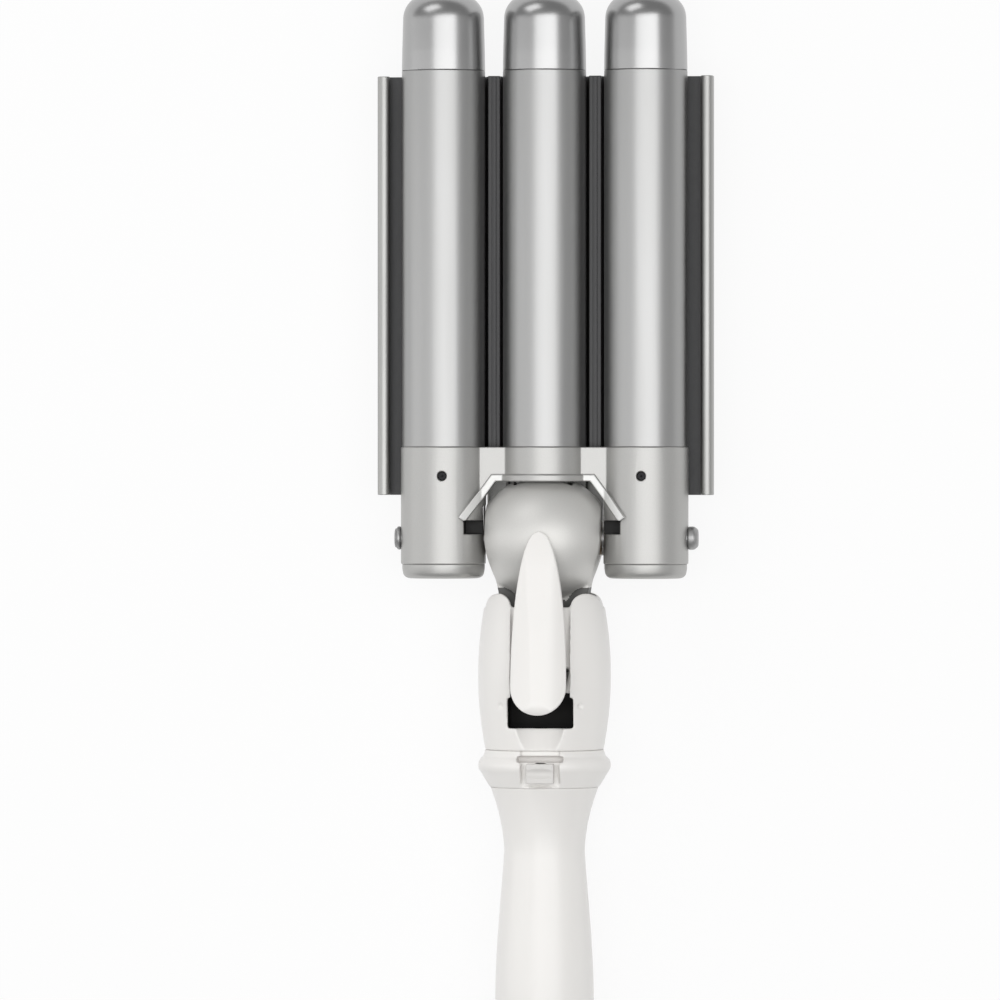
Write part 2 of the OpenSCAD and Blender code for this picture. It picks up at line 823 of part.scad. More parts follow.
module knuckle() {
    difference() {
        union() {
            difference() {
                knuckle_body();
                drum(-knuckle_wall, bush_in);
            }
            // bosses for the rear arm's screws
            intersection() {
                both_sides() rod_z(3, -drum_r, -7.6, arm_screw_x, arm_screw_y);
                drum();
            }
            rod_z(spring_peg_r, neck_front - 1, neck_front + 2.5, 0, spring_y);
        }
        rod_x(bush_r + seat, -far, far);
        // way through the neck for the loom
        box([-loom_way_w, loom_way_w], [-far, -6], loom_way_z);
        // slot in the top for the heater leads, and in the front for the lever's arm
        box([-wire_way_w, wire_way_w], [8, far], wire_way_z);
        plate_x([[-3.6, 2], [-3.6, far], [-26, far], [-26, 12], [-20, 2]], -yoke_w - 0.5, yoke_w + 0.5);
        both_sides() {
            rod_z(screw_r + seat, -far, 2, neck_screw_x, neck_screw_y);
            rod_z(screw_r + seat, -far, -8.2, arm_screw_x, arm_screw_y);
        }
    }
}

module knuckle_front() {
    color("silver") front_half() knuckle();
}

module knuckle_rear() {
    color("silver") rear_half() knuckle();
}

// Press plate

module ridge() {
    half_gap = pitch / 2 - channel_r;
    translate([pitch / 2, -half_gap]) circle(half_gap);
    translate([pitch / 2 - half_gap, -half_gap - 2]) square([2 * half_gap, 2]);
}

module plate_profile() {
    difference() {
        union() {
            for (x = barrel_x) translate([x, 0]) circle(channel_out_r);
            both_sides_2d() {
                ridge();
                translate([pitch, -flange_z - sheet_t]) square([bead_x + bead_r - pitch, sheet_t]);
                translate([bead_x, bead_z]) circle(bead_r);
                translate([bead_x + bead_r - sheet_t, -flange_z - sheet_t])
                    square([sheet_t, flange_z + sheet_t + bead_z]);
            }
        }
        for (x = barrel_x) translate([x, 0]) circle(channel_r);
        translate([-pitch / 2, 0]) square([pitch, far]);
        both_sides_2d() {
            translate([pitch / 2, 0]) square([pitch / 2, far]);
            translate([pitch, -flange_z]) square([channel_out_r + eps, far]);
        }
    }
}

module both_sides_2d() {
    children();
    mirror([1, 0]) children();
}

module press_plate() {
    color("silver") difference() {
        translate([0, plate_foot, 0]) rotate([90, 0, 0]) mirror([0, 0, 1]) linear_extrude(plate_len) plate_profile();
        box([-notch_w, notch_w], [-far, notch_top], [-far, far]);
        for (y = rivet_ys) rod_z(rivet_r + seat, -far, 0, 0, y);
    }
}

module plate_rivets() {
    color("gray") for (y = rivet_ys) {
        rod_z(rivet_r, -rest_depth + 0.8, -channel_r - 0.1, 0, y);
        rod_z(rivet_head_r, -rest_depth + 0.8, -rest_depth + 1.8, 0, y);
    }
}

// Rear arm: seated on the drum below and cradling the middle channel above
arm_screw_x = 7;
arm_screw_y = 12.4;
arm_seat = -rest_depth + 1.9;
arm_step = channel_r + 0.25;
arm_foot_y = [-5.4, notch_top - 0.2];
module rear_arm() {
    color("silver") difference() {
        union() {
            box([-arm_w / 2, arm_w / 2], [4.5, arm_top], [-rest_depth, -arm_step]);
            box([-arm_w / 2, arm_w / 2], [notch_top + 0.2, arm_top], [-rest_depth, -8]);
            both_sides() box([arm_w / 2 - 1.5, arm_foot_w / 2], arm_foot_y, [-rest_depth, -arm_step - 0.1]);
        }
        drum(seat);
        rod_y(channel_out_r + seat, notch_top, far);
        for (y = rivet_ys) {
            rod_z(rivet_r + seat, -far, 0, 0, y);
            rod_z(rivet_head_r + seat, -far, -rest_depth + 1.8 + seat, 0, y);
        }
        both_sides() {
            rod_z(screw_r + seat, -far, 0, arm_screw_x, arm_screw_y);
            rod_z(screw_head_r + seat, -far, arm_seat, arm_screw_x, arm_screw_y);
        }
    }
}

// A screw driven in from behind, its head against the seat
module rear_screw(x, y, seat_z, tip_z) {
    rod_z(screw_r, seat_z, tip_z, x, y);
    rod_z(screw_head_r, seat_z - screw_head_t, seat_z, x, y);
}

module arm_screws() {
    color("gray") both_sides() rear_screw(arm_screw_x, arm_screw_y, arm_seat, -8.5);
}

// Head

module lobes_outline() {
    lobe_x = head_r(head_top_y) - lobe_r;
    both_sides_2d() {
        translate([lobe_x, head_top_y - lobe_r]) circle(lobe_r);
        translate([lobe_x - lobe_r, -far]) square([lobe_r + lobe_r + 8, far + head_top_y - lobe_r]);
    }
    translate([-lobe_x, -far]) square([2 * lobe_x, far + head_top_y - 4]);
}

// Floor and cheeks of the channel that the lever sinks into
function floor_point(y, below = 0) = [y, floor_z(y) - below];
module channel_floor() {
    top = head_top_y - 0.4;
    intersection() {
        union() {
            plate_x([floor_point(top), floor_point(pressed_bend[0]), floor_point(floor_end),
                floor_point(floor_end, floor_t), floor_point(pressed_bend[0], floor_t), floor_point(top, floor_t)],
                -channel_w - 1, channel_w + 1);
            both_sides() plate_x([floor_point(top), floor_point(pressed_bend[0]), floor_point(floor_end),
                [floor_end, far], [top, far]], channel_w, channel_w + floor_t);
        }
        head_solid(shell_wall / 2);
    }
}

module head_shell() {
    difference() {
        above_rest() head_solid();
        intersection() {
            head_solid(shell_wall, 1);
            box([-far, far], [-far, far], [-rest_depth + shell_wall, far]);
        }
        drum(0.3, far);
    }
}

// The front shell with its channel, and the openings in the channel's floor for the lever's foot and spring
module head_trough() {
    difference() {
        union() {
            front_half() head_shell();
            channel_floor();
            intersection() {
                union() {
                    both_sides() rod_z(boss_r, 0, far, head_screw_x, head_screw_y);
                    box([-scoop_w - 1.4, scoop_w + 1.4], [collar_top_y, -window_end + 0.6], [scoop_floor - scoop_wall, far]);
                }
                head_solid(shell_wall / 2);
            }
        }
        plate_x([floor_point(0), floor_point(pressed_bend[0]), floor_point(floor_end - 4), [floor_end - 4, far], [0, far]],
            -channel_w, channel_w);
    }
}

module head_front() {
    color("white") difference() {
        difference() {
            head_trough();
            box([-window_w, window_w], [-window_end, window_top], [scoop_floor - 6, far - 1]);
            box([-foot_w - 0.5, foot_w + 0.5], [foot_y[0] - 6.2, 0], [0, far - 2]);
            for (y = [spring_y, spring_y - spring_swing]) rod_z(spring_hole_r, 0, far - 3, 0, y);
            box([-spring_hole_r, spring_hole_r], [spring_y - spring_swing, spring_y], [0, far - 4]);
        }
        // scoop that leads down to the lock slider
        translate([0, -window_end, scoop_floor + scoop_r - scoop_dip]) rotate([-90 - scoop_tilt, 0, 0])
            cylinder(r = scoop_r, h = 40, center = true);
        both_sides() {
            rod_z(screw_r + seat, -1, 9, head_screw_x, head_screw_y);
            // blind holes beside the window
            rod_z(0.9, 14.8, far, window_w + 2.2, -50);
        }
        drum(0.3, far);
        lobe_cut();
    }
}

// Rounds the upper ends of the head into two lobes
module lobe_cut() {
    difference() {
        box([-far, far], [head_top_y - 6, far], [-far, far]);
        translate([0, 0, -far]) linear_extrude(2 * far) lobes_outline();
    }
}

module head_rear() {
    color("white") difference() {
        union() {
            rear_half() head_shell();
            intersection() {
                union() {
                    both_sides() rod_z(boss_r, -far, 0, head_screw_x, head_screw_y);
                    both_sides() rod_z(boss_foot_r, -far, head_seat + 1, head_screw_x, head_screw_y);
                    difference() {
                        both_sides() rod_z(boss_foot_r, -far, -6, neck_screw_x, neck_screw_y);
                        rod_y(neck_r + seat, -far, far);
                    }
                }
                head_solid(shell_wall / 2);
            }
        }
        both_sides() {
            rod_z(screw_r + seat, -far, 1, head_screw_x, head_screw_y);
            rod_z(screw_head_r + seat, -far, head_seat, head_screw_x, head_screw_y);
            rod_z(screw_r + seat, -far, 1, neck_screw_x, neck_screw_y);
            rod_z(screw_head_r + seat, -far, neck_seat, neck_screw_x, neck_screw_y);
        }
        lobe_cut();
    }
}

module neck_screws() {
    color("gray") both_sides() rear_screw(neck_screw_x, neck_screw_y, neck_seat, 1.5);
}

module head_screws() {
    color("gray") both_sides() rear_screw(head_screw_x, head_screw_y, head_seat, 8);
}

// Dark tray behind the window
module lever_well() {
    color("black") difference() {
        intersection() {
            box([-window_w - 0.2 - well_wall, window_w + 0.2 + well_wall], well_y, [well_floor, far]);
            head_solid(shell_wall + 0.1);
        }
        box([-window_w - 0.2, window_w + 0.2], [well_y[0] + well_wall, well_y[1] - well_wall],
            [well_floor + well_wall, far]);
        box([-scoop_w - 1.6, scoop_w + 1.6], [-far, -window_end + 0.8], [scoop_floor - scoop_wall - 0.2, far]);
        box([-channel_w - floor_t - 0.2, channel_w + floor_t + 0.2], [floor_end - 4, far],
            [floor_z(floor_end) - floor_t - 1.4, far]);
    }
}

// Collar

module collar_profile() {
    polygon(concat(
        [[collar_bore_r, collar_top_y + 3], [head_r(collar_top_y) - shell_wall - slip, collar_top_y + 3],
            [head_r(collar_top_y) - shell_wall - slip, collar_top_y], [head_r(collar_top_y) + 0.1, collar_top_y]],
        arc(collar_r - 3, collar_rib_y, 3, 62, -45, 7),
        [[collar_foot_r + 0.2, collar_end_y], [grip_r(collar_end_y) - shell_wall - slip, collar_end_y],
            [grip_r(collar_end_y - 4) - shell_wall - slip, collar_end_y - 4], [9.5, collar_end_y - 4],
            [9.5, collar_end_y + 1.5], [collar_bore_r, collar_end_y + 3.5]]
    ));
}

module collar() {
    color("white") difference() {
        above_rest() along_y() rotate_extrude() collar_profile();
        box([-lock_channel_w, lock_channel_w], [collar_end_y + 0.4, far], [scoop_floor, far]);
        box([-stem_w - 0.2, stem_w + 0.2], [stem_y[0] - 0.2, stem_y[1] + lock_travel + 0.2], [0, far]);
        box([-far, far], [collar_top_y, far], [12.4, far]);
        box([-band_w, band_w], [collar_top_y + band_y[0], collar_top_y + band_y[1]], [band_floor, far + 1]);
    }
}

module lock_slider() {
    color("white") {
        difference() {
            intersection() {
                box([-lock_w / 2, lock_w / 2], [lock_y0, lock_y0 + lock_len], [scoop_floor + 0.1, far]);
                rod_y(collar_r - 0.6, -far, far);
            }
            // finger dip across the tab
            rod_x(2.2, -far, far, lock_y0 + lock_len / 2, collar_r + 1);
        }
        box([-stem_w, stem_w], stem_y, [foot_z, scoop_floor + 0.2]);
        box([-stem_w - 1, stem_w + 1], stem_y, [foot_z - 1.2, foot_z]);
    }
}

// Grip

module grip_shell() {
    difference() {
        grip_solid();
        grip_solid(shell_wall, 1);
    }
}

grip_screw_y = [waist_at - 12, grip_end_y + 14];
grip_screw_x = 9.4;
grip_seats = [-8, -7.5];
module grip_bosses(z0, z1) {
    intersection() {
        union() {
            rod_z(boss_r, z0, z1, 0, grip_screw_y[0]);
            both_sides() rod_z(boss_r, z0, z1, grip_screw_x, grip_screw_y[1]);
        }
        grip_solid(shell_wall / 2);
    }
}

// Wider feet round the screw heads
module grip_boss_feet() {
    intersection() {
        union() {
            rod_z(boss_foot_r, -far, grip_seats[0] + 1, 0, grip_screw_y[0]);
            both_sides() rod_z(boss_foot_r, -far, grip_seats[1] + 1, grip_screw_x, grip_screw_y[1]);
        }
        grip_solid(shell_wall / 2);
    }
}

module grip_screw_holes(z0, z1) {
    rod_z(screw_r + seat, z0, z1, 0, grip_screw_y[0]);
    both_sides() rod_z(screw_r + seat, z0, z1, grip_screw_x, grip_screw_y[1]);
}

module grip_front() {
    color("white") difference() {
        union() {
            front_half() grip_shell();
            grip_bosses(0, far);
        }
        box([-panel_w, panel_w], [-panel_end, -panel_top], [0, far]);
        grip_screw_holes(-1, 7);
    }
}

module grip_rear() {
    color("white") difference() {
        union() {
            rear_half() grip_shell();
            grip_bosses(-far, 0);
            grip_boss_feet();
            intersection() {
                for (x = [-post_x, post_x], y = post_y) rod_z(post_r, -far, board_z, x, y);
                grip_solid(shell_wall / 2);
            }
        }
        grip_screw_holes(-far, 1);
        rod_z(screw_head_r + seat, -far, grip_seats[0], 0, grip_screw_y[0]);
        both_sides() rod_z(screw_head_r + seat, -far, grip_seats[1], grip_screw_x, grip_screw_y[1]);
        for (x = [-post_x, post_x], y = post_y) rod_z(board_screw_r + seat, -3, far, x, y);
    }
}

module grip_screws() {
    color("gray") {
        rear_screw(0, grip_screw_y[0], grip_seats[0], 6);
        both_sides() rear_screw(grip_screw_x, grip_screw_y[1], grip_seats[1], 6);
    }
}

// Controls

module panel_slab(sink, t, w, y) {
    intersection() {
        difference() {
            grip_solid(sink);
            grip_solid(sink + t);
        }
        box([-w, w], y, [0, far]);
    }
}

module control_panel() {
    color("gainsboro") difference() {
        panel_slab(panel_sink, panel_t, panel_w - 0.1, [-panel_end + 0.1, -panel_top - 0.1]);
        box([-lens_w, lens_w], lens_y, [0, far]);
        for (y = [plus_y, minus_y]) rod_z(small_button_d / 2 + button_gap, 0, far, 0, y);
        rod_z(power_button_d / 2 + button_gap, 0, far, 0, power_y);
    }
}

module display_lens() {
    color("black") panel_slab(panel_sink, panel_t, lens_w - 0.1, lens_y + [0.1, -0.1]);
}

module display_module() {
    color("dimgray") box([-lens_w - 1, lens_w + 1], lens_y + [-1, 0.6], [board_z + board_t, module_top]);
}

module control_board() {
    color("green") difference() {
        box([-board_w, board_w], board_y, [board_z, board_z + board_t]);
        for (x = [-post_x, post_x], y = post_y) rod_z(board_screw_r + seat, 0, far, x, y);
        both_sides() rod_z(boss_r + 0.3, 0, far, grip_screw_x, grip_screw_y[1]);
    }
}

module board_screws() {
    color("gray") for (x = [-post_x, post_x], y = post_y) {
        rod_z(board_screw_r, -2, board_z + board_t, x, y);
        rod_z(board_screw_r + 0.7, board_z + board_t, board_z + board_t + 1, x, y);
    }
}

switch_w = 3;
switch_t = 2.2;
module tact_switches() {
    top = flange_top - flange_t - button_travel - button_gap;
    color("dimgray") for (y = [plus_y, minus_y, power_y]) {
        box([-switch_w, switch_w], [y - switch_w, y + switch_w], [board_z + board_t, board_z + board_t + switch_t]);
        rod_z(1.6, board_z + board_t + switch_t, top, 0, y);
    }
}

module button(y, d) {
    intersection() {
        rod_z(d / 2, flange_top - flange_t, far, 0, y);
        grip_solid(-button_proud);
    }
    rod_z(d / 2 + flange_out, flange_top - flange_t, flange_top, 0, y);
}

module plus_button() {
    color("silver") button(plus_y, small_button_d);
}

module minus_button() {
    color("silver") button(minus_y, small_button_d);
}

module power_button() {
    color("silver") button(power_y, power_button_d);
}

// Wires inside the handle
loom_r = 1.2;
module wire_loom() {
    color("white") both_sides() wire([
        [lead_x, 8, -3], [lead_x, 5.2, -5.4], [4.8, -12, -5.4], [4.8, -neck_len, -4.5], [5, waist_at, -3.5],
        [5, waist_at - 20, -3.5], [2.4, -panel_top - 5, -3], [2.4, -panel_top - 5, board_z]
    ], loom_r);
}

module mains_leads() {
    color("white") both_sides() wire([
        [2.6, -panel_end + 9, board_z], [2.6, -panel_end + 9, 4], [2.6, -panel_end + 7.6, 1.4],
        [2.6, -panel_end + 5, 0], [2.6, brush_y[1], 0]
    ], loom_r);
}

// Cord inlet

gland_in_y = grip_end_y - 1;
disc_y = gland_in_y + gland_flange_t;
ring_top_y = disc_y + ring_disc_t + ring_t;
ring_rs = [3.4, 6.1];
brush_y = [ring_top_y + brush_gap, ring_top_y + brush_gap + 3.6];

module brush_block() {
    color("saddlebrown") box([-butt_r + shell_wall + 0.6, butt_r - shell_wall - 0.6], brush_y - [-1.6, 0], [-2.4, 2.4]);
    color("goldenrod") for (p = [[-ring_rs[0], 0], [ring_rs[1], 0]]) {
        rod_y(0.55, brush_y[0], brush_y[0] + 1.6, p[0], p[1]);
    }
}

module end_cap() {
    color("white") difference() {
        union() {
            revolve_y(concat(
                [[0, grip_end_y], [butt_r, grip_end_y]],
                arc(butt_r - cap_round, cap_end_y + cap_round, cap_round, 0, -90, 7),
                [[0, cap_end_y]]
            ));
            rod_y(butt_r - shell_wall - slip, grip_end_y, grip_end_y + 2.9);
        }
        rod_y(gland_r + run_gap, -far, far);
        rod_y(gland_flange_r + 0.4, gland_in_y - 0.1, far);
    }
}

module cord_gland() {
    color("white") difference() {
        union() {
            rod_y(gland_r, cap_end_y - 1, gland_in_y + 1);
            rod_y(gland_flange_r, gland_in_y, disc_y);
            rod_y(gland_r + 1.4, cap_end_y - 0.15 - gland_lip_t, cap_end_y - 0.15);
            cone_y(cord_bore_d / 2 + 1.7, gland_r + 0.4, gland_end_y, cap_end_y - 0.15 - gland_lip_t);
        }
        rod_y(cord_bore_d / 2, gland_end_y - 1, cap_end_y + 4);
        rod_y(1.6, gland_end_y, far);
    }
}

module slip_ring() {
    color("saddlebrown") difference() {
        rod_y(ring_disc_r, disc_y, disc_y + ring_disc_t);
        rod_y(1.6, disc_y - 1, far);
    }
    color("goldenrod") for (r = ring_rs) difference() {
        rod_y(r + 0.7, disc_y + ring_disc_t, ring_top_y);
        rod_y(r - 0.7, disc_y, far);
    }
}

// Nodes

placed() color("silver") barrel_tube(-pitch);  // left_tube
placed() color("silver") barrel_tube(0);  // middle_tube
placed() color("silver") barrel_tube(pitch);  // right_tube
placed() color("lightgray") barrel_tip(-pitch);  // left_tip
placed() color("lightgray") barrel_tip(0);  // middle_tip
placed() color("lightgray") barrel_tip(pitch);  // right_tip
placed() color("gainsboro") heater_core(-pitch);  // left_heater_core
placed() color("gainsboro") heater_core(0);  // middle_heater_core
placed() color("gainsboro") heater_core(pitch);  // right_heater_core
placed() heater_strips();
placed() temperature_sensor();
placed() thermal_fuse();
placed() heater_leads();
placed() barrel_holder();
placed() left_sleeve_cap();
placed() right_sleeve_cap();
placed() holder_screws();
placed() hinge_axle();
placed() axle_nut();
placed() lever_yoke();
placed() yoke_pin();
placed() thumb_lever();
placed() lever_screws();
placed() knuckle_front();
placed() knuckle_rear();
placed() left_bush();
placed() right_bush();
placed() lever_spring();
placed() press_plate();
placed() plate_rivets();
placed() rear_arm();
placed() arm_screws();
placed() head_front();
placed() head_rear();
placed() lever_well();
placed() neck_screws();
placed() head_screws();
placed() collar();
placed() lock_slider();
placed() grip_front();
placed() grip_rear();
placed() grip_screws();
placed() control_panel();
placed() display_lens();
placed() display_module();
placed() control_board();
placed() board_screws();
placed() tact_switches();
placed() plus_button();
placed() minus_button();
placed() power_button();
placed() wire_loom();
placed() mains_leads();
placed() brush_block();
placed() end_cap();
placed() cord_gland();
placed() slip_ring();
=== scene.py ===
import json
import math

import bmesh
import bpy
from mathutils import Matrix, Vector
from mathutils.bvhtree import BVHTree


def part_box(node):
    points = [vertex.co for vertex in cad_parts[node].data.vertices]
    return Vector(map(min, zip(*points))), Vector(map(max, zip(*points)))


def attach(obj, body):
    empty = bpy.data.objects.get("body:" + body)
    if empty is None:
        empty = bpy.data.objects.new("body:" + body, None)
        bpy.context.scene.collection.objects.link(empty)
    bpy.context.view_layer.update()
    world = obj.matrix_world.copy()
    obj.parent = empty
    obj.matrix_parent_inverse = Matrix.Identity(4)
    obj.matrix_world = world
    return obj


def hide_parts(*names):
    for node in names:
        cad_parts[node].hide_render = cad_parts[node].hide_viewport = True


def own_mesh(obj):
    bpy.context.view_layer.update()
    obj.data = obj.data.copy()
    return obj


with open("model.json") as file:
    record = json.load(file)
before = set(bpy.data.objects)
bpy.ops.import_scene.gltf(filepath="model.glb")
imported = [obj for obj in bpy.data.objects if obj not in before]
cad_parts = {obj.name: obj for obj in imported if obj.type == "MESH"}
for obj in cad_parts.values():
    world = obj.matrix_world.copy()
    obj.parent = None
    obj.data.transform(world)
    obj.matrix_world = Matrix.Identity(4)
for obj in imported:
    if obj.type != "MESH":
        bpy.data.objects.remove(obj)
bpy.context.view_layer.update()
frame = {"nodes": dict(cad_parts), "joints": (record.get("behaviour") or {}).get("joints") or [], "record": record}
nodes = frame["nodes"]
mm = 0.001
print("frame loaded:", len(nodes), "nodes")

# Places that the pieces share, read from the frame
hinge = next(joint for joint in frame["joints"] if joint["name"] == "jaw_hinge")
hingeY, hingeZ = hinge["pos_m"][1], hinge["pos_m"][2]


# Shaders

def linearColour(text):
    # an sRGB hex value such as C8C8C6, as linear light
    parts = [int(text[i:i + 2], 16) / 255 for i in (0, 2, 4)]
    return [c / 12.92 if c < 0.04045 else ((c + 0.055) / 1.055) ** 2.4 for c in parts] + [1.0]


def perMm(size):
    return 1 / (size * mm)  # pattern scale for one repeat in this many millimetres


def addNode(tree, kind, inputs=None, **settings):
    # inputs takes a value, or a socket to link from
    node = tree.nodes.new(kind)
    for name, value in settings.items():
        setattr(node, name, value)
    for name, value in (inputs or {}).items():
        socket = node.inputs[name]
        if isinstance(value, bpy.types.NodeSocket):
            tree.links.new(value, socket)
        else:
            socket.default_value = value
    return node


def newMaterial(name, shaderInputs):
    material = bpy.data.materials.new(name)
    material.use_nodes = True
    tree = material.node_tree
    tree.nodes.clear()
    shader = addNode(tree, "ShaderNodeBsdfPrincipled", shaderInputs)
    addNode(tree, "ShaderNodeOutputMaterial", {"Surface": shader.outputs["BSDF"]})
    place = addNode(tree, "ShaderNodeTexCoord").outputs["Object"]
    return material, tree, shader, place


def varied(tree, shader, place, size, colours, roughs, bump, stretch=(1, 1, 1)):
    # one noise varies colour and roughness, and a finer one gives the surface its texture;
    # bump is its grain in mm, its strength and its depth in mm
    drawn = addNode(tree, "ShaderNodeMapping", {"Vector": place, "Scale": stretch})
    noise = addNode(tree, "ShaderNodeTexNoise", {
        "Vector": drawn.outputs["Vector"], "Scale": perMm(size), "Detail": 3.0})
    ramp = addNode(tree, "ShaderNodeMapRange", {
        "Value": noise.outputs["Fac"], "From Min": 0.3, "From Max": 0.7,
        "To Min": roughs[0], "To Max": roughs[1]})
    tree.links.new(ramp.outputs["Result"], shader.inputs["Roughness"])
    tint = addNode(tree, "ShaderNodeMix", {
        0: noise.outputs["Fac"], 6: linearColour(colours[0]), 7: linearColour(colours[1])},
        data_type="RGBA")
    tree.links.new(tint.outputs[2], shader.inputs["Base Color"])
    grain, strength, depth = bump
    fine = addNode(tree, "ShaderNodeTexNoise", {
        "Vector": drawn.outputs["Vector"], "Scale": perMm(grain), "Detail": 2.0})
    relief = addNode(tree, "ShaderNodeBump", {
        "Height": fine.outputs["Fac"], "Strength": strength, "Distance": depth * mm})
    tree.links.new(relief.outputs["Normal"], shader.inputs["Normal"])


def satinCoatedAluminium():
    # drawn tube under a thin sprayed ceramic coat: soft wide highlights, faint lines lengthwise
    material, tree, shader, place = newMaterial("satin_coated_aluminium", {"Metallic": 0.95})
    varied(tree, shader, place, 3, ("A0A0A0", "AEAEAD"), (0.34, 0.41), (0.4, 0.1, 0.02),
           (1, 0.04, 1))
    return material


def platedTip():
    # nickel-chrome plating on a moulded tip: polished, with soft reflections
    material, tree, shader, place = newMaterial("bright_plating", {"Metallic": 1.0})
    varied(tree, shader, place, 12, ("A8A8A8", "B0B0B0"), (0.28, 0.31), (0.6, 0.04, 0.02))
    return material


def silverFlakePaint(name, colours, metallic, roughs):
    # heat-proof plastic with fine aluminium-flake paint: a faint sparkle; the real flakes are
    # finer still and are drawn as coarse as they need to show
    material, tree, shader, place = newMaterial(name, {"Metallic": metallic})
    varied(tree, shader, place, 0.35, colours, roughs, (0.35, 0.12, 0.03))
    return material


def pressedAluminium():
    # pressed sheet with a satin coat: even grey metal with a lengthwise rolling grain
    material, tree, shader, place = newMaterial("pressed_aluminium", {"Metallic": 1.0})
    varied(tree, shader, place, 6, ("A8A8A6", "B4B4B2"), (0.4, 0.48), (0.5, 0.1, 0.02),
           (1, 0.1, 1))
    return material


def paintedShadePlate():
    # painted shade: dark grey on the side of the plate that meets the hair, for the shade between and beside the
    # barrels; dull, finely grained
    material, tree, shader, place = newMaterial("painted_shade_plate_front", {"Metallic": 0.3})
    varied(tree, shader, place, 0.5, ("3A3A3B", "454546"), (0.42, 0.52), (0.4, 0.15, 0.03))
    return material


def whiteAbs(name="white_abs", colours=("EFEDEA", "F2F0ED"), roughs=(0.3, 0.37)):
    # moulded ABS from a fine-spark mould: white, softly glossy
    material, tree, shader, place = newMaterial(name, {
        "IOR": 1.53, "Coat Weight": 0.12, "Coat Roughness": 0.2})
    varied(tree, shader, place, 14, colours, roughs, (0.6, 0.06, 0.02))
    return material


def blackAbs():
    # moulded black ABS: dull and dark inside the window
    material, tree, shader, place = newMaterial("black_abs", {
        "IOR": 1.53, "Specular IOR Level": 0.2})
    varied(tree, shader, place, 8, ("0E0C0B", "151311"), (0.55, 0.65), (0.4, 0.15, 0.03))
    return material


def zincedSteel():
    # turned steel, zinc-plated: dull, with a tight grain from the tool
    material, tree, shader, place = newMaterial("zinced_steel", {"Metallic": 0.9})
    varied(tree, shader, place, 1.5, ("A4A4A4", "B0B0B0"), (0.4, 0.5), (0.25, 0.15, 0.02))
    return material


def plainFinish(name, colours, roughs, **shaderInputs):
    # a lightly mottled surface, for small parts and coats
    material, tree, shader, place = newMaterial(name, shaderInputs)
    varied(tree, shader, place, 4, colours, roughs, (0.5, 0.08, 0.02))
    return material


finishes = {
    "barrel_coat": satinCoatedAluminium(),
    "polished_tip": platedTip(),
    # cast bars: soft grey metal
    "core_aluminium": plainFinish("cast_aluminium", ("A6A6A8", "B4B4B6"), (0.4, 0.5), Metallic=1.0),
    # fired ceramic: chalky cream
    "alumina": plainFinish("fired_alumina", ("E2DDD0", "EAE6DA"), (0.35, 0.45)),
    # dipped epoxy: black, glossy
    "sensor_epoxy": plainFinish("dipped_epoxy", ("141416", "1C1C1E"), (0.3, 0.4)),
    # deep-drawn can: brighter than the cast metal
    "fuse_can": plainFinish("drawn_aluminium_can", ("A8A8A8", "B4B4B4"), (0.25, 0.35),
                            Metallic=1.0),
    # extruded silicone: pale, dull
    "wire_sleeve": plainFinish("silicone_sleeve", ("DEDDD8", "E8E7E2"), (0.5, 0.6)),
    "silver_paint": silverFlakePaint("silver_flake_paint", ("AEAEAC", "BCBBB9"), 0.7,
                                     (0.38, 0.46)),
    "steel": zincedSteel(),
    # oxidised steel: near black with a dull sheen
    "blackened_steel": plainFinish("black_oxide", ("1E1E20", "2A2A2C"), (0.35, 0.45),
                                   Metallic=0.8),
    # die-cast zinc: darker, bluish metal
    "cast_zinc": plainFinish("die_cast_zinc", ("77787C", "86878B"), (0.4, 0.5), Metallic=1.0),
    "white_plastic": whiteAbs(),
    # pressed and sintered bronze: brown, porous, dull
    "sintered_bronze": plainFinish("sintered_bronze", ("6A5A48", "7C6C58"), (0.45, 0.6),
                                   Metallic=1.0),
    "plate_aluminium": pressedAluminium(),
    "black_plastic": blackAbs(),
    "panel_plastic": whiteAbs("grey_abs", ("C4C4C2", "CACAC8")),
    # moulded smoked acrylic: glossy black
    "smoked_lens": plainFinish("smoked_acrylic", ("0B0B0D", "0F0F11"), (0.06, 0.1), IOR=1.49),
    # polished glass over an unlit display: greenish black
    "display_glass": plainFinish("display_glass", ("20241F", "262A25"), (0.1, 0.15)),
    # glass-fibre laminate under solder mask: green, half glossy
    "board_laminate": plainFinish("board_laminate", ("1A5A30", "20663A"), (0.35, 0.45)),
    # moulded nylon: black, half dull
    "switch_plastic": plainFinish("switch_plastic", ("1A1A1A", "242424"), (0.4, 0.5)),
    # moulded plastic with a silver coat: soft metallic gloss
    "button_plastic": plainFinish("silver_button_plastic", ("B4B4B4", "BEBEBE"), (0.3, 0.38),
                                  Metallic=0.4),
    # rolled brass: warm, rather bright
    "contact_brass": plainFinish("contact_brass", ("B08A48", "C09A58"), (0.25, 0.35),
                                 Metallic=1.0),
    # moulded elastomer: off-white, rubbery and dull
    "gland_plastic": plainFinish("gland_elastomer", ("E2E1DE", "E8E7E4"), (0.45, 0.55)),
}
# Finishes that only some faces or single nodes take
# painted highlight: the same paint on the hood's rim, paler and glossier, standing in for the light the rim
# catches
rimPaintedHighlight = silverFlakePaint("painted_highlight_rim", ("E0E0DE", "E6E6E4"), 0.15, (0.28, 0.34))
# the same paint sprayed thin on the ball: paler and duller
knucklePaint = silverFlakePaint("knuckle_paint", ("D2D1CE", "DCDBD8"), 0.45, (0.46, 0.52))
# painted shade on the ball's neck, where it runs in under the head: dark grey, dull
neckPaintedShade = plainFinish("painted_shade_neck", ("5E5E5C", "686866"), (0.5, 0.6))
# moulded acetal: greyer and duller than the shells around it
sliderPlastic = whiteAbs("slider_acetal", ("D6D4D1", "DAD8D5"), (0.4, 0.47))
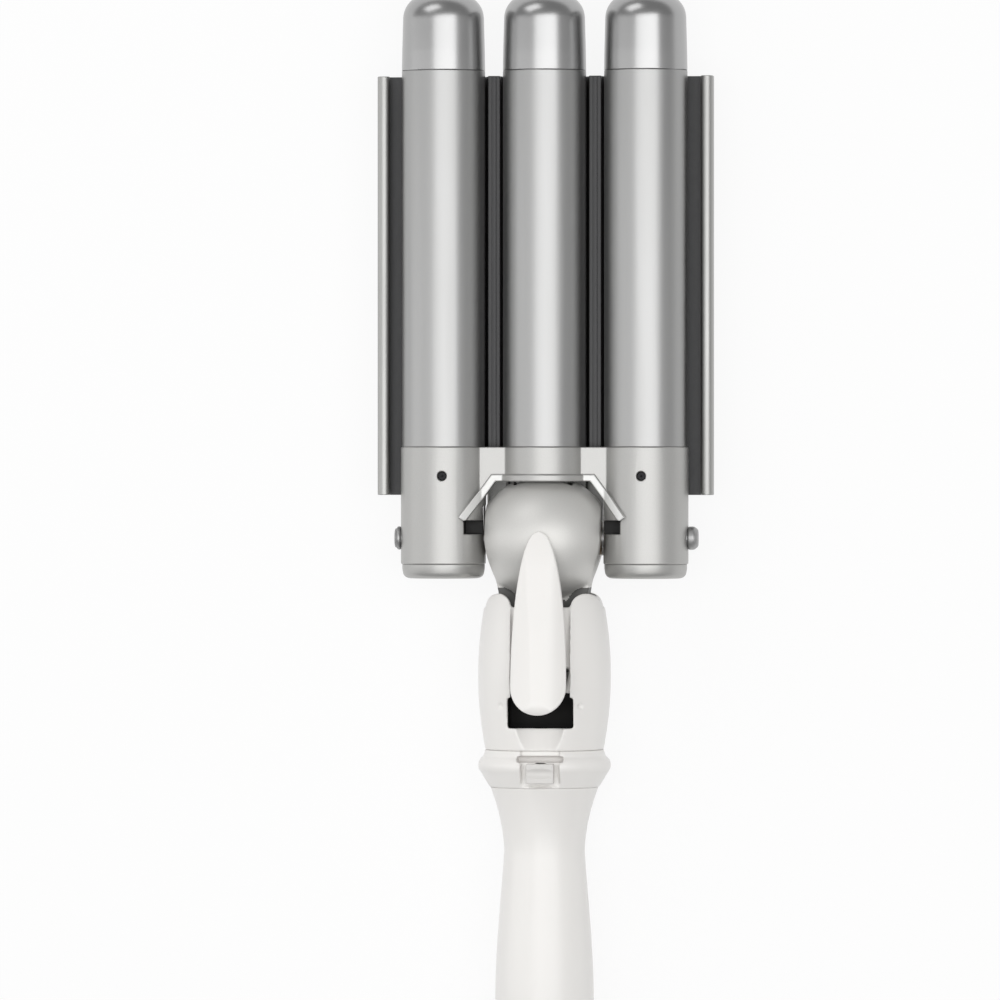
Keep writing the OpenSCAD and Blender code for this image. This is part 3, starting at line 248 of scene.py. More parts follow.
# painted shade in the collar's cross groove: greyer and duller than the rest of the collar
grooveShadePaint = whiteAbs("painted_shade_groove", ("D2CFCC", "D6D3D0"), (0.5, 0.58))
# painted shade: black at the bottom of the hood's pockets
pocketPaintedShade = plainFinish("painted_shade_pocket", ("100F0E", "181716"), (0.6, 0.7))
# bars of an unlit display: pale grey
digitGlow = plainFinish("unlit_digits", ("8E948E", "989E98"), (0.3, 0.4))
# pad-printed ink: dark grey, dull
symbolInk = plainFinish("printed_symbol", ("3A3A3C", "444446"), (0.45, 0.55))
plateFrontShade = paintedShadePlate()
ownPaint = {"knuckle_front": knucklePaint, "knuckle_rear": knucklePaint,
            "lock_slider": sliderPlastic}
slotOf = {part["node"]: part["material_slot"] for part in frame["record"]["subparts"]}
for node, slot in slotOf.items():
    mesh = nodes[node].data
    mesh.materials.clear()
    mesh.materials.append(ownPaint.get(node, finishes[slot]))
print("finishes given to the frame's nodes")


# Camera

cameraView = {
    "target": (-0.0134, 0.0364, 0.0192),  # what stands at the picture's centre
    "distance": 2.4,
    "right": 4.8,  # degrees to the waver's right
    "tips": 0.3,  # degrees towards the tips
    "width": 0.3,  # of the view, at the target
}


def addObject(name, data):
    thing = bpy.data.objects.new(name, data)
    bpy.context.scene.collection.objects.link(thing)
    return thing


def makeCamera(view):
    across = math.radians(view["right"])
    along = math.radians(view["tips"])
    away = Vector((math.sin(across) * math.cos(along), math.sin(along),
                   math.cos(across) * math.cos(along)))
    eye = Vector(view["target"]) + away * view["distance"]
    side = Vector((0, 1, 0)).cross(away).normalized()
    turn = Matrix((side, away.cross(side), away)).transposed()
    data = bpy.data.cameras.new("camera")
    data.sensor_width = 36
    data.lens = data.sensor_width * view["distance"] / view["width"]
    data.clip_start = 0.01
    camera = addObject("camera", data)
    camera.matrix_world = Matrix.Translation(eye) @ turn.to_4x4()
    bpy.context.scene.camera = camera


makeCamera(cameraView)
print("camera placed")


# Pieces with softened edges, made from copies of the frame's own shapes

softening = {
    # node: (edge radius in mm, steps)
    "barrel_holder": (0.35, 3), "rear_arm": (0.8, 3), "press_plate": (0.2, 2),
    "grip_front": (0.2, 2), "grip_rear": (0.2, 2), "end_cap": (0.25, 2), "control_panel": (0.2, 2),
    "plus_button": (0.35, 3), "minus_button": (0.35, 3), "power_button": (0.35, 3),
    "hinge_axle": (0.4, 3), "axle_nut": (0.4, 3),
}
moulding = {
    # node: (grain of the new mesh in mm, smoothing passes)
    "head_front": (0.36, 4), "head_rear": (0.4, 4), "collar": (0.34, 3), "lock_slider": (0.16, 4),
    "knuckle_front": (0.4, 3), "knuckle_rear": (0.4, 3), "thumb_lever": (0.26, 6),
}
softenLimits = {
    "weld": 0.06,  # mm
    "flat": 0.6,  # degrees, below which two faces become one
    "sharp": 32,  # degrees, above which an edge is rounded
}
closeWeld = 0.002  # mm, joins only what lies at one place


def bodyOf(node):
    bodies = frame["record"]["behaviour"]["bodies"]
    return next(name for name, members in bodies.items() if node in members)


def addPiece(name, mesh, material, body, standsFor):
    piece = addObject(name, mesh)
    mesh.materials.clear()
    mesh.materials.append(material)
    for face in mesh.polygons:
        face.use_smooth = True
    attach(piece, body)
    if standsFor:
        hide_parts(*standsFor)
    return piece


def weldedBuild(node, reach):
    # a node's mesh is loose triangles, so a copy of it is joined up first
    build = bmesh.new()
    build.from_mesh(nodes[node].data)
    bmesh.ops.remove_doubles(build, verts=build.verts[:], dist=reach * mm)
    return build


def meshFrom(build, name):
    mesh = bpy.data.meshes.new(name)
    build.to_mesh(mesh)
    build.free()
    return mesh


def appliedMesh(holder):
    # what the holder's modifiers give, as a plain mesh
    graph = bpy.context.evaluated_depsgraph_get()
    mesh = bpy.data.meshes.new_from_object(holder.evaluated_get(graph))
    bpy.data.objects.remove(holder)
    return mesh


def softened(node, radius, steps):
    build = weldedBuild(node, softenLimits["weld"])
    bmesh.ops.dissolve_limit(build, angle_limit=math.radians(softenLimits["flat"]),
                             use_dissolve_boundaries=False, verts=build.verts[:],
                             edges=build.edges[:], delimit={"NORMAL"})
    limit = math.radians(softenLimits["sharp"])
    sharp = [edge for edge in build.edges if edge.is_manifold and edge.calc_face_angle(0) > limit]
    bmesh.ops.bevel(build, geom=sharp, offset=radius * mm, offset_type="OFFSET", segments=steps,
                    profile=0.5, affect="EDGES", clamp_overlap=False)
    low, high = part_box(node)
    for vert in build.verts:  # no bevel may reach out of the node's own box
        vert.co = [min(max(vert.co[i], low[i]), high[i]) for i in range(3)]
    mesh = meshFrom(build, node + "_soft")
    piece = addPiece(node + "_soft", mesh, nodes[node].data.materials[0], bodyOf(node), [node])
    piece.modifiers.new("weighted normals", "WEIGHTED_NORMAL")
    return piece


def moulded(node, grain, passes):
    # remeshed evenly and smoothed, so that every edge is a little round as on a moulding
    name = node + "_moulded"
    holder = addObject(name, meshFrom(weldedBuild(node, closeWeld), node + "_welded"))
    remesh = holder.modifiers.new("even mesh", "REMESH")
    remesh.mode = "VOXEL"
    remesh.voxel_size = grain * mm
    smooth = holder.modifiers.new("smoothing", "SMOOTH")
    smooth.factor = 0.5
    smooth.iterations = passes
    mesh = appliedMesh(holder)
    mesh.name = name
    return addPiece(name, mesh, nodes[node].data.materials[0], bodyOf(node), [node])


# Second finishes on some faces, all of them painted highlight and shade: each function gives a face its finish,
# where 0 is the piece's own

def paintFaces(piece, finishOf, *materials):
    for material in materials:
        piece.data.materials.append(material)
    for face in piece.data.polygons:
        face.material_index = int(finishOf(face))


hoodSettings = {
    # mm from the middle of the tool and from the hinge's axis
    "Lip half width": 13.4, "Rim radius": 13.3, "Rim level": 6.5,
    "Rim slope": 0.2,  # least upward part of a face's direction
    "Pocket x": (16.6, 23.4), "Pocket y": (1.25, 5.25), "Pocket z": (3.4, 14),
}
tubePitch = (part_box("right_tube")[0][0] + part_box("right_tube")[1][0]) / 2


def takesPaintedHighlight(face, settings):
    # painted highlight on the top of the hood's raised rim: it stands proud of the sockets and of the webs between
    # them
    level = face.center.z - hingeZ
    reach = min(math.hypot(face.center.x - x, level) for x in (-tubePitch, 0, tubePitch))
    slanted = abs(face.center.x) > settings["Lip half width"] * mm
    proud = reach > settings["Rim radius"] * mm and level > settings["Rim level"] * mm
    return slanted and proud and face.normal.z > settings["Rim slope"]


def inShadedPocket(face, settings):
    # painted shade in the two pockets of the hood beside the knuckle
    (x0, x1), (y0, y1), (z0, z1) = (settings["Pocket " + axis] for axis in "xyz")
    across = abs(face.center.x) / mm
    along, level = (face.center.y - hingeY) / mm, (face.center.z - hingeZ) / mm
    return x0 < across < x1 and y0 < along < y1 and z0 < level < z1


# painted shade in the hood's pockets, painted highlight on its rim
def hoodPaintedLight(face):
    if inShadedPocket(face, hoodSettings):
        return 2
    return takesPaintedHighlight(face, hoodSettings)


plateSettings = {"Bead width": 4, "Front slope": 0.05}
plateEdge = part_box("press_plate")[1][0] - plateSettings["Bead width"] * mm


def plateShadeMask(face):
    # painted shade: the plate's front is dark grey, up to the rolled edges
    return face.normal.z > plateSettings["Front slope"] and abs(face.center.x) < plateEdge


def surfaceOf(node):
    mesh = nodes[node].data
    corners = [vert.co for vert in mesh.vertices]
    return BVHTree.FromPolygons(corners, [tuple(face.vertices) for face in mesh.polygons])


def planOf(node, leastSlope):
    # a node laid flat as seen from above, without its upright faces, which have no area there
    mesh = nodes[node].data
    flat = [(vert.co.x, vert.co.y, 0) for vert in mesh.vertices]
    shown = [face for face in mesh.polygons if abs(face.normal.z) > leastSlope]
    return BVHTree.FromPolygons(flat, [tuple(face.vertices) for face in shown])


neckShadeSettings = {"Gap": 1.9, "Upright": 0.02}
headPlan = planOf("head_front", neckShadeSettings["Upright"])


def knuckleShadeMask(face):
    # painted shade: dark grey where the ball runs in under the head's lobes
    place = (face.center.x, face.center.y, 0)
    return headPlan.find_nearest(place, neckShadeSettings["Gap"] * mm)[0] is not None


grooveSettings = {"Half width": 7.0, "Below top": (4.4, 6.4), "Level": 13.0}
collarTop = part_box("collar")[1][1]


def collarGrooveShade(face):
    # painted shade in the cross groove of the collar, between the scoop and the slider
    near, far = grooveSettings["Below top"]
    high = (face.center.z - hingeZ) / mm > grooveSettings["Level"]
    central = abs(face.center.x) < grooveSettings["Half width"] * mm
    return high and central and near < (collarTop - face.center.y) / mm < far


for node, (radius, steps) in softening.items():
    piece = softened(node, radius, steps)
    # painted highlight on the hood's rim and painted shade in its pockets
    if node == "barrel_holder":
        paintFaces(piece, hoodPaintedLight, rimPaintedHighlight, pocketPaintedShade)
    # painted shade on the plate's front
    if node == "press_plate":
        paintFaces(piece, plateShadeMask, plateFrontShade)
for node, (grain, passes) in moulding.items():
    piece = moulded(node, grain, passes)
    # painted shade where the ball's neck runs in under the head
    if node.startswith("knuckle"):
        paintFaces(piece, knuckleShadeMask, neckPaintedShade)
    # painted shade in the collar's cross groove
    if node == "collar":
        paintFaces(piece, collarGrooveShade, grooveShadePaint)
    print(piece.name, len(piece.data.polygons), "faces")
print("softened pieces:", len(softening) + len(moulding))


# Turned pieces: tubes, tips and sleeve caps, with their sizes in mm

turnSteps = 128
pole = 1e-7  # m, a ring smaller than this is one point on the axis


def filleted(points, radius, closed=False, steps=5, mostOfSide=0.45):
    # each corner of a profile becomes a short curve
    shape = []
    for i, here in enumerate(points):
        if not closed and i in (0, len(points) - 1):
            shape.append(here)
            continue
        back = points[i - 1] - here
        ahead = points[(i + 1) % len(points)] - here
        start = here + back.normalized() * min(radius, back.length * mostOfSide)
        end = here + ahead.normalized() * min(radius, ahead.length * mostOfSide)
        for k in range(steps + 1):
            t = k / steps
            shape.append(start * (1 - t) ** 2 + here * 2 * t * (1 - t) + end * t ** 2)
    return shape


def turnedMesh(name, profile, x, closed=False):
    # solid of revolution about a line along Y at x, from (radius, y) points
    turns = [2 * math.pi * k / turnSteps for k in range(turnSteps)]
    build = bmesh.new()
    rings = []
    for radius, y in profile:
        ring = [(x, y, hingeZ)]
        if radius > pole:
            ring = [(x + radius * math.cos(a), y, hingeZ + radius * math.sin(a)) for a in turns]
        rings.append([build.verts.new(place) for place in ring])
    following = rings[1:] + rings[:1] if closed else rings[1:]
    for low, high in zip(rings, following):
        for k in range(turnSteps):
            n = (k + 1) % turnSteps
            corners = [low[k % len(low)], low[n % len(low)],
                       high[n % len(high)], high[k % len(high)]]
            build.faces.new(list(dict.fromkeys(corners)))
    bmesh.ops.recalc_face_normals(build, faces=build.faces[:])
    return meshFrom(build, name)


def points2d(*pairs):
    return [Vector(pair) for pair in pairs]


def addTurned(node, profile, closed=False):
    low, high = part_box(node)
    mesh = turnedMesh(node + "_turned", profile, (low[0] + high[0]) / 2, closed)
    piece = addPiece(node + "_turned", mesh, nodes[node].data.materials[0], bodyOf(node), [node])
    piece.modifiers.new("weighted normals", "WEIGHTED_NORMAL")


def radiusOf(node):
    return (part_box(node)[1][0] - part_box(node)[0][0]) / 2


tubeSettings = {"Wall": 1.2, "Edge": 0.25}


def tubeProfile(node, settings):
    outer, inner = radiusOf(node), radiusOf(node) - settings["Wall"] * mm
    foot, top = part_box(node)[0][1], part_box(node)[1][1]
    corners = points2d((outer, foot), (outer, top), (inner, top), (inner, foot))
    return filleted(corners, settings["Edge"] * mm, True)


tipSettings = {
    "Wall": 2.0, "Clearance": 0.05, "Roof": 1.0,
    "Seam edge": (0.15, 0.2), "Side": (0.1, 6),  # each is how far inwards and how far up
    "Crown": 8.9, "Crown inset": 0.35, "Crown bulge": 0.85, "Crown steps": 24, "Edge": 0.15,
}


def tipProfile(node, settings):
    # the inside first, then the outside from the seam with the tube up and over the crown
    tube = node.replace("tip", "tube")
    seam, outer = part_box(tube)[1][1], radiusOf(tube)
    foot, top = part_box(node)[0][1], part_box(node)[1][1]
    spigot = outer - (tubeSettings["Wall"] + settings["Clearance"]) * mm
    bore = spigot - settings["Wall"] * mm
    crown, crownFoot = outer - settings["Crown inset"] * mm, top - settings["Crown"] * mm
    roof = crownFoot - settings["Roof"] * mm
    edgeIn, edgeUp = (size * mm for size in settings["Seam edge"])
    sideIn, sideUp = (size * mm for size in settings["Side"])
    lower = filleted(points2d(
        (0, roof), (bore, roof), (bore, foot), (spigot, foot), (spigot, seam),
        (outer - edgeIn, seam), (outer, seam + edgeUp), (outer - sideIn, seam + sideUp),
        (crown, crownFoot)), settings["Edge"] * mm)
    bulge, steps, rise = settings["Crown bulge"], settings["Crown steps"], top - crownFoot
    turns = [math.pi / 2 * k / steps for k in range(1, steps)]
    arch = [Vector((crown * math.cos(a) ** bulge, crownFoot + rise * math.sin(a) ** bulge))
            for a in turns]
    return lower + arch + [Vector((0, top))]


capSettings = {
    "Foot inset": 1.7, "Shoulder": (0.35, 0.9), "Side": 3, "Edge": 1.1,
    "Plug": 2.4, "Plug radius": 8.95, "Plug edge": 0.25,
}


def capProfile(node, settings):
    outer, low, high = radiusOf(node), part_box(node)[0][1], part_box(node)[1][1]
    seam, plug = high - settings["Plug"] * mm, settings["Plug radius"] * mm
    shoulderIn, shoulderUp = (size * mm for size in settings["Shoulder"])
    side = low + settings["Side"] * mm
    foot = filleted(points2d(
        (0, low), (outer - settings["Foot inset"] * mm, low),
        (outer - shoulderIn, low + shoulderUp), (outer, side)), settings["Edge"] * mm)
    inside = filleted(points2d((outer, side), (outer, seam), (plug, seam), (plug, high), (0, high)),
                      settings["Plug edge"] * mm)
    return foot + inside[1:]


for side in ("left", "middle", "right"):
    addTurned(side + "_tube", tubeProfile(side + "_tube", tubeSettings), closed=True)
    addTurned(side + "_tip", tipProfile(side + "_tip", tipSettings))
for side in ("left", "right"):
    addTurned(side + "_sleeve_cap", capProfile(side + "_sleeve_cap", capSettings))
print("turned pieces made")


# Return spring under the lever, grown with geometry nodes

springSettings = {"Turns": 6.0, "Radius": 3.4, "Wire": 0.45, "Steps per turn": 32}
wireSteps = 12  # sides of a wire, and of a rib's section


def startGrowth(name, inputs):
    tree = bpy.data.node_groups.new(name, "GeometryNodeTree")
    tree.interface.new_socket("Base", in_out="INPUT", socket_type="NodeSocketGeometry")
    sockets = {label: tree.interface.new_socket(label, in_out="INPUT", socket_type=kind)
               for label, kind in inputs.items()}
    tree.interface.new_socket("Geometry", in_out="OUTPUT", socket_type="NodeSocketGeometry")
    return tree, sockets, addNode(tree, "NodeGroupInput").outputs


def endGrowth(tree, geometry, material):
    real = addNode(tree, "GeometryNodeRealizeInstances", {"Geometry": geometry})
    finished = addNode(tree, "GeometryNodeSetMaterial", {
        "Geometry": real.outputs["Geometry"], "Material": material})
    out = addNode(tree, "NodeGroupOutput")
    tree.links.new(finished.outputs["Geometry"], out.inputs["Geometry"])


def grow(name, tree, sockets, values, places=()):
    base = bpy.data.meshes.new(name)
    base.from_pydata(list(places), [], [])
    holder = addObject(name, base)
    modifier = holder.modifiers.new("growth", "NODES")
    modifier.node_group = tree
    for label, value in values.items():
        modifier[sockets[label].identifier] = value
    return appliedMesh(holder)


def makeSpring(settings):
    low, high = (Vector(corner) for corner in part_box("lever_spring"))
    tree, sockets, given = startGrowth("spring_growth", {
        "Turns": "NodeSocketFloat", "Coil Radius": "NodeSocketFloat", "Height": "NodeSocketFloat",
        "Wire Radius": "NodeSocketFloat", "Resolution": "NodeSocketInt",
        "Material": "NodeSocketMaterial"})
    helix = addNode(tree, "GeometryNodeCurveSpiral", {
        "Resolution": given["Resolution"], "Rotations": given["Turns"],
        "Start Radius": given["Coil Radius"], "End Radius": given["Coil Radius"],
        "Height": given["Height"]})
    ring = addNode(tree, "GeometryNodeCurvePrimitiveCircle", {
        "Resolution": wireSteps, "Radius": given["Wire Radius"]})
    swept = addNode(tree, "GeometryNodeCurveToMesh", {
        "Curve": helix.outputs["Curve"], "Profile Curve": ring.outputs["Curve"],
        "Fill Caps": True})
    endGrowth(tree, swept.outputs["Mesh"], given["Material"])
    wire = settings["Wire"] * mm
    mesh = grow("lever_coil", tree, sockets, {
        "Turns": settings["Turns"], "Coil Radius": settings["Radius"] * mm,
        "Height": high.z - low.z - 2 * wire, "Wire Radius": wire,
        "Resolution": settings["Steps per turn"], "Material": finishes["steel"]})
    middle = (low + high) / 2
    mesh.transform(Matrix.Translation((middle.x, middle.y, low.z + wire)))
    piece = addPiece("lever_coil", mesh, finishes["steel"], "handle", ["lever_spring"])
    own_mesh(piece)


makeSpring(springSettings)
print("spring grown")


# Screws with a cross recess and domed rivets, one shape set on many points

fasteners = {
    # node: (shank radius, head radius, head height, recess width) in mm; no recess makes a rivet
    "arm_screws": (1.3, 2.25, 1.3, 0.75), "neck_screws": (1.3, 2.25, 1.3, 0.75),
    "head_screws": (1.3, 2.25, 1.3, 0.75), "grip_screws": (1.3, 2.25, 1.3, 0.75),
    "board_screws": (0.9, 1.55, 0.95, 0.5), "holder_screws": (1.0, 1.33, 0.9, 0.45),
    "plate_rivets": (1.5, 2.5, 0.95, 0),
}
fastenerShape = {
    "Head top": 0.82, "Recess reach": 1.25,  # shares of the head's radius
    "Turn": 0.35,  # of the recess, in radians
    "Head sides": 40, "Shank sides": 32,
}


def solidsOf(node):
    # the corners of each separate solid in a node
    build = weldedBuild(node, closeWeld)
    taken, solids = set(), []
    for start in build.verts:
        if start in taken:
            continue
        taken.add(start)
        reach, group = [start], []
        while reach:
            vert = reach.pop()
            group.append(vert.co.copy())
            for edge in vert.link_edges:
                other = edge.other_vert(vert)
                if other not in taken:
                    taken.add(other)
                    reach.append(other)
        solids.append(group)
    build.free()
    return solids


def fastenerTree(shape):
    tree, sockets, given = startGrowth("fastener_growth", {
        "Shank Radius": "NodeSocketFloat", "Head Radius": "NodeSocketFloat",
        "Head Height": "NodeSocketFloat", "Recess": "NodeSocketFloat",
        "Length": "NodeSocketFloat", "Turn": "NodeSocketRotation", "Domed": "NodeSocketBool",
        "Material": "NodeSocketMaterial"})
    # screw head: a cone with two crossed bars cut from its top
    headTop, reach = (addNode(tree, "ShaderNodeMath", {
        0: given["Head Radius"], 1: shape[share]}, operation="MULTIPLY").outputs[0]
        for share in ("Head top", "Recess reach"))
    head = addNode(tree, "GeometryNodeMeshCone", {
        "Vertices": shape["Head sides"], "Side Segments": 1, "Fill Segments": 1,
        "Radius Bottom": given["Head Radius"], "Radius Top": headTop,
        "Depth": given["Head Height"]})
    lift = addNode(tree, "ShaderNodeCombineXYZ", {"Z": given["Head Height"]})
    cut = addNode(tree, "GeometryNodeMeshBoolean", {"Mesh 1": head.outputs["Mesh"]},
                  operation="DIFFERENCE")
    for width, depth in ((reach, given["Recess"]), (given["Recess"], reach)):
        size = addNode(tree, "ShaderNodeCombineXYZ", {
            "X": width, "Y": depth, "Z": given["Head Height"]})
        bar = addNode(tree, "GeometryNodeMeshCube", {"Size": size.outputs["Vector"]})
        lifted = addNode(tree, "GeometryNodeTransform", {
            "Geometry": bar.outputs["Mesh"], "Translation": lift.outputs["Vector"]})
        tree.links.new(lifted.outputs["Geometry"], cut.inputs["Mesh 2"])
    # rivet head: a flattened ball
    ball = addNode(tree, "GeometryNodeMeshUVSphere", {
        "Segments": shape["Head sides"], "Rings": shape["Head sides"] // 2,
        "Radius": given["Head Radius"]})
    squat = addNode(tree, "ShaderNodeMath", {
        0: given["Head Height"], 1: given["Head Radius"]}, operation="DIVIDE")
    scale = addNode(tree, "ShaderNodeCombineXYZ", {"X": 1.0, "Y": 1.0, "Z": squat.outputs[0]})
    dome = addNode(tree, "GeometryNodeTransform", {
        "Geometry": ball.outputs["Mesh"], "Scale": scale.outputs["Vector"]})
    top = addNode(tree, "GeometryNodeSwitch", {
        "Switch": given["Domed"], "False": cut.outputs["Mesh"],
        "True": dome.outputs["Geometry"]}, input_type="GEOMETRY")
    rod = addNode(tree, "GeometryNodeMeshCone", {
        "Vertices": shape["Shank sides"], "Side Segments": 1, "Fill Segments": 1,
        "Radius Bottom": given["Shank Radius"], "Radius Top": given["Shank Radius"],
        "Depth": given["Length"]})
    down = addNode(tree, "ShaderNodeMath", {0: given["Length"], 1: -1.0}, operation="MULTIPLY")
    sink = addNode(tree, "ShaderNodeCombineXYZ", {"Z": down.outputs[0]})
    shank = addNode(tree, "GeometryNodeTransform", {
        "Geometry": rod.outputs["Mesh"], "Translation": sink.outputs["Vector"]})
    whole = addNode(tree, "GeometryNodeJoinGeometry")
    tree.links.new(top.outputs["Output"], whole.inputs["Geometry"])
    tree.links.new(shank.outputs["Geometry"], whole.inputs["Geometry"])
    placed = addNode(tree, "GeometryNodeInstanceOnPoints", {
        "Points": given["Base"], "Instance": whole.outputs["Geometry"],
        "Rotation": given["Turn"]})
    endGrowth(tree, placed.outputs["Instances"], given["Material"])
    return tree, sockets


def setFasteners(node, sizes, tree, sockets):
    shank, head, height, recess = (size * mm for size in sizes)
    places, lengths, down = [], [], False
    for solid in solidsOf(node):
        xs, ys, zs = ([co[i] for co in solid] for i in range(3))
        middle = ((min(xs) + max(xs)) / 2, (min(ys) + max(ys)) / 2)
        # the head is where the solid is widest
        wide = max(solid, key=lambda co: math.hypot(co.x - middle[0], co.y - middle[1]))
        down = wide.z < (min(zs) + max(zs)) / 2
        places.append((*middle, min(zs) + height if down else max(zs) - height))
        lengths.append(max(zs) - min(zs) - height)
    mesh = grow(node + "_set", tree, sockets, {
        "Shank Radius": shank, "Head Radius": head, "Head Height": height, "Recess": recess,
        "Length": min(lengths), "Turn": (math.pi if down else 0, 0, fastenerShape["Turn"]),
        "Domed": not recess, "Material": finishes[slotOf[node]]}, places)
    addPiece(node + "_set", mesh, finishes[slotOf[node]], bodyOf(node), [node])
    for face in mesh.polygons:
        face.use_smooth = not recess


fastenerGrowth = fastenerTree(fastenerShape)
for node, sizes in fasteners.items():
    setFasteners(node, sizes, *fastenerGrowth)
print("screws and rivets set:", len(fasteners), "sets")


# Cord gland: a turned core with ribs that let it bend

glandSettings = {
    "Bore": 2.75, "Bore depth": 4, "Lead way": 1.6, "Tip radius": 4.4, "Root radius": 6.3,
    "Groove": 0.75, "Lip radius": 7.4, "Lip": 2.0, "Lip gap": 0.15, "Neck radius": 6.0,
    "Seat": 7, "Edge": 0.3, "Ribs": 6, "Rib thickness": 0.55,
}
ribSteps = 96


def ribTree():
    tree, sockets, given = startGrowth("rib_growth", {
        "Count": "NodeSocketInt", "Step": "NodeSocketVector", "Start": "NodeSocketVector",
        "Radius": "NodeSocketFloat", "Growth": "NodeSocketFloat",
        "Thickness": "NodeSocketFloat", "Material": "NodeSocketMaterial"})
    line = addNode(tree, "GeometryNodeMeshLine", {
        "Count": given["Count"], "Start Location": given["Start"], "Offset": given["Step"]})
    ring = addNode(tree, "GeometryNodeCurvePrimitiveCircle", {
        "Resolution": ribSteps, "Radius": given["Radius"]})
    section = addNode(tree, "GeometryNodeCurvePrimitiveCircle", {
        "Resolution": wireSteps, "Radius": given["Thickness"]})
    rib = addNode(tree, "GeometryNodeCurveToMesh", {
        "Curve": ring.outputs["Curve"], "Profile Curve": section.outputs["Curve"]})
    # each rib towards the cap is a little larger
    index = addNode(tree, "GeometryNodeInputIndex")
    grown = addNode(tree, "ShaderNodeMath", {
        0: index.outputs["Index"], 1: given["Growth"], 2: 1.0}, operation="MULTIPLY_ADD")
    scale = addNode(tree, "ShaderNodeCombineXYZ", {
        "X": grown.outputs[0], "Y": grown.outputs[0], "Z": 1.0})
    placed = addNode(tree, "GeometryNodeInstanceOnPoints", {
        "Points": line.outputs["Mesh"], "Instance": rib.outputs["Mesh"],
        "Scale": scale.outputs["Vector"], "Rotation": (math.pi / 2, 0, 0)})
    endGrowth(tree, placed.outputs["Instances"], given["Material"])
    return tree, sockets


def makeGland(settings):
    low, high = (Vector(corner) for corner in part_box("cord_gland"))
    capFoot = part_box("end_cap")[0][1]
    flange = radiusOf("cord_gland")
    size = {key: value * mm for key, value in settings.items() if key != "Ribs"}
    lipTop = capFoot - size["Lip gap"]
    lipFoot = lipTop - size["Lip"]
    seat, boreEnd = capFoot + size["Seat"], capFoot + size["Bore depth"]
    core = filleted(points2d(
        (size["Bore"], low.y), (size["Tip radius"] - size["Groove"], low.y),
        (size["Root radius"] - size["Groove"], lipFoot), (size["Lip radius"], lipFoot),
        (size["Lip radius"], lipTop), (size["Neck radius"], lipTop), (size["Neck radius"], seat),
        (flange, seat), (flange, high.y), (size["Lead way"], high.y),
        (size["Lead way"], boreEnd), (size["Bore"], boreEnd)), size["Edge"], True)
    mesh = turnedMesh("cord_gland_core", core, 0.0, True)

    thick, count = size["Rib thickness"], settings["Ribs"]
    step = (lipFoot - low.y - 2 * thick) / count
    first = size["Tip radius"] - thick
    last = size["Root radius"] - thick
    ribs = grow("gland_ribs", *ribTree(), {
        "Count": count, "Step": (0, step, 0), "Start": (0, low.y + thick, hingeZ),
        "Radius": first, "Growth": (last / first - 1) / count, "Thickness": thick,
        "Material": finishes["gland_plastic"]})
    build = bmesh.new()
    build.from_mesh(mesh)
    build.from_mesh(ribs)
    build.to_mesh(mesh)
    build.free()
    addPiece("cord_gland_ribbed", mesh, finishes["gland_plastic"], "swivel", ["cord_gland"])


makeGland(glandSettings)
print("cord gland made")


# Printed symbols on the buttons and digits under the display lens, in mm

inkHeight = 0.05
barSteps = 4  # parts of a short straight stroke, so that it follows the surface
symbolSettings = {
    "Stroke": 0.55, "Half size": 1.45,
    "Plus gap": 0.2, "Power bar": (0.25, 1.25),  # shares of the half size
    "Power gap": 38,  # degrees to each side of the top
    "Power steps": 28,
}
digitSettings = {"Reading": "180", "Width": 1.7, "Height": 3.8, "Stroke": 0.42, "Pitch": 2.6,
                 "Corner gap": 0.3}
litSegments = {"0": "abcdef", "1": "bc", "8": "abcdefg"}


def surfaceUnder(node):
    tree = surfaceOf(node)

    def heightAt(x, y):
        return tree.ray_cast(Vector((x, y, 1.0)), Vector((0, 0, -1)))[0].z

    return heightAt


def printStroke(build, heightAt, path, width, ink):
    # a flat stroke along a path, laid on the surface below it
    rows = []
    for i, here in enumerate(path):
        ahead = (path[min(i + 1, len(path) - 1)] - path[max(i - 1, 0)]).normalized()
        side = Vector((-ahead.y, ahead.x)) * width / 2
        left, right = here + side, here - side
        corners = ((left, ink), (right, ink), (right, -ink), (left, -ink))
        rows.append([build.verts.new((point.x, point.y, heightAt(point.x, point.y) + lift))
                     for point, lift in corners])
    for low, high in zip(rows, rows[1:]):
        for k in range(4):
            n = (k + 1) % 4
            build.faces.new((low[k], low[n], high[n], high[k]))
    build.faces.new(rows[0])
    build.faces.new(rows[-1][::-1])


def straight(x0, y0, x1, y1, steps):
    return [Vector((x0 + (x1 - x0) * i / steps, y0 + (y1 - y0) * i / steps))
            for i in range(steps + 1)]


def printOn(name, node, paths, width, material):
    build = bmesh.new()
    heightAt = surfaceUnder(node)
    for path in paths:
        printStroke(build, heightAt, path, width * mm, inkHeight * mm)
    bmesh.ops.recalc_face_normals(build, faces=build.faces[:])
    piece = addPiece(name, meshFrom(build, name), material, bodyOf(node), [])


def symbolPaths(node, settings):
    low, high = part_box(node)
    x, y = (low[0] + high[0]) / 2, (low[1] + high[1]) / 2
    size = settings["Half size"] * mm
    if node == "power_button":
        gap, steps = math.radians(settings["Power gap"]), settings["Power steps"]
        turns = [math.pi / 2 + gap + (2 * math.pi - 2 * gap) * k / steps for k in range(steps + 1)]
        start, end = settings["Power bar"]
        return [[Vector((x + size * math.cos(a), y + size * math.sin(a))) for a in turns],
                straight(x, y + start * size, x, y + end * size, barSteps)]
    paths = [straight(x - size, y, x + size, y, 2 * barSteps)]
    if node == "plus_button":
        gap = settings["Plus gap"] * size
        paths += [straight(x, y + gap, x, y + size, barSteps),
                  straight(x, y - gap, x, y - size, barSteps)]
    return paths


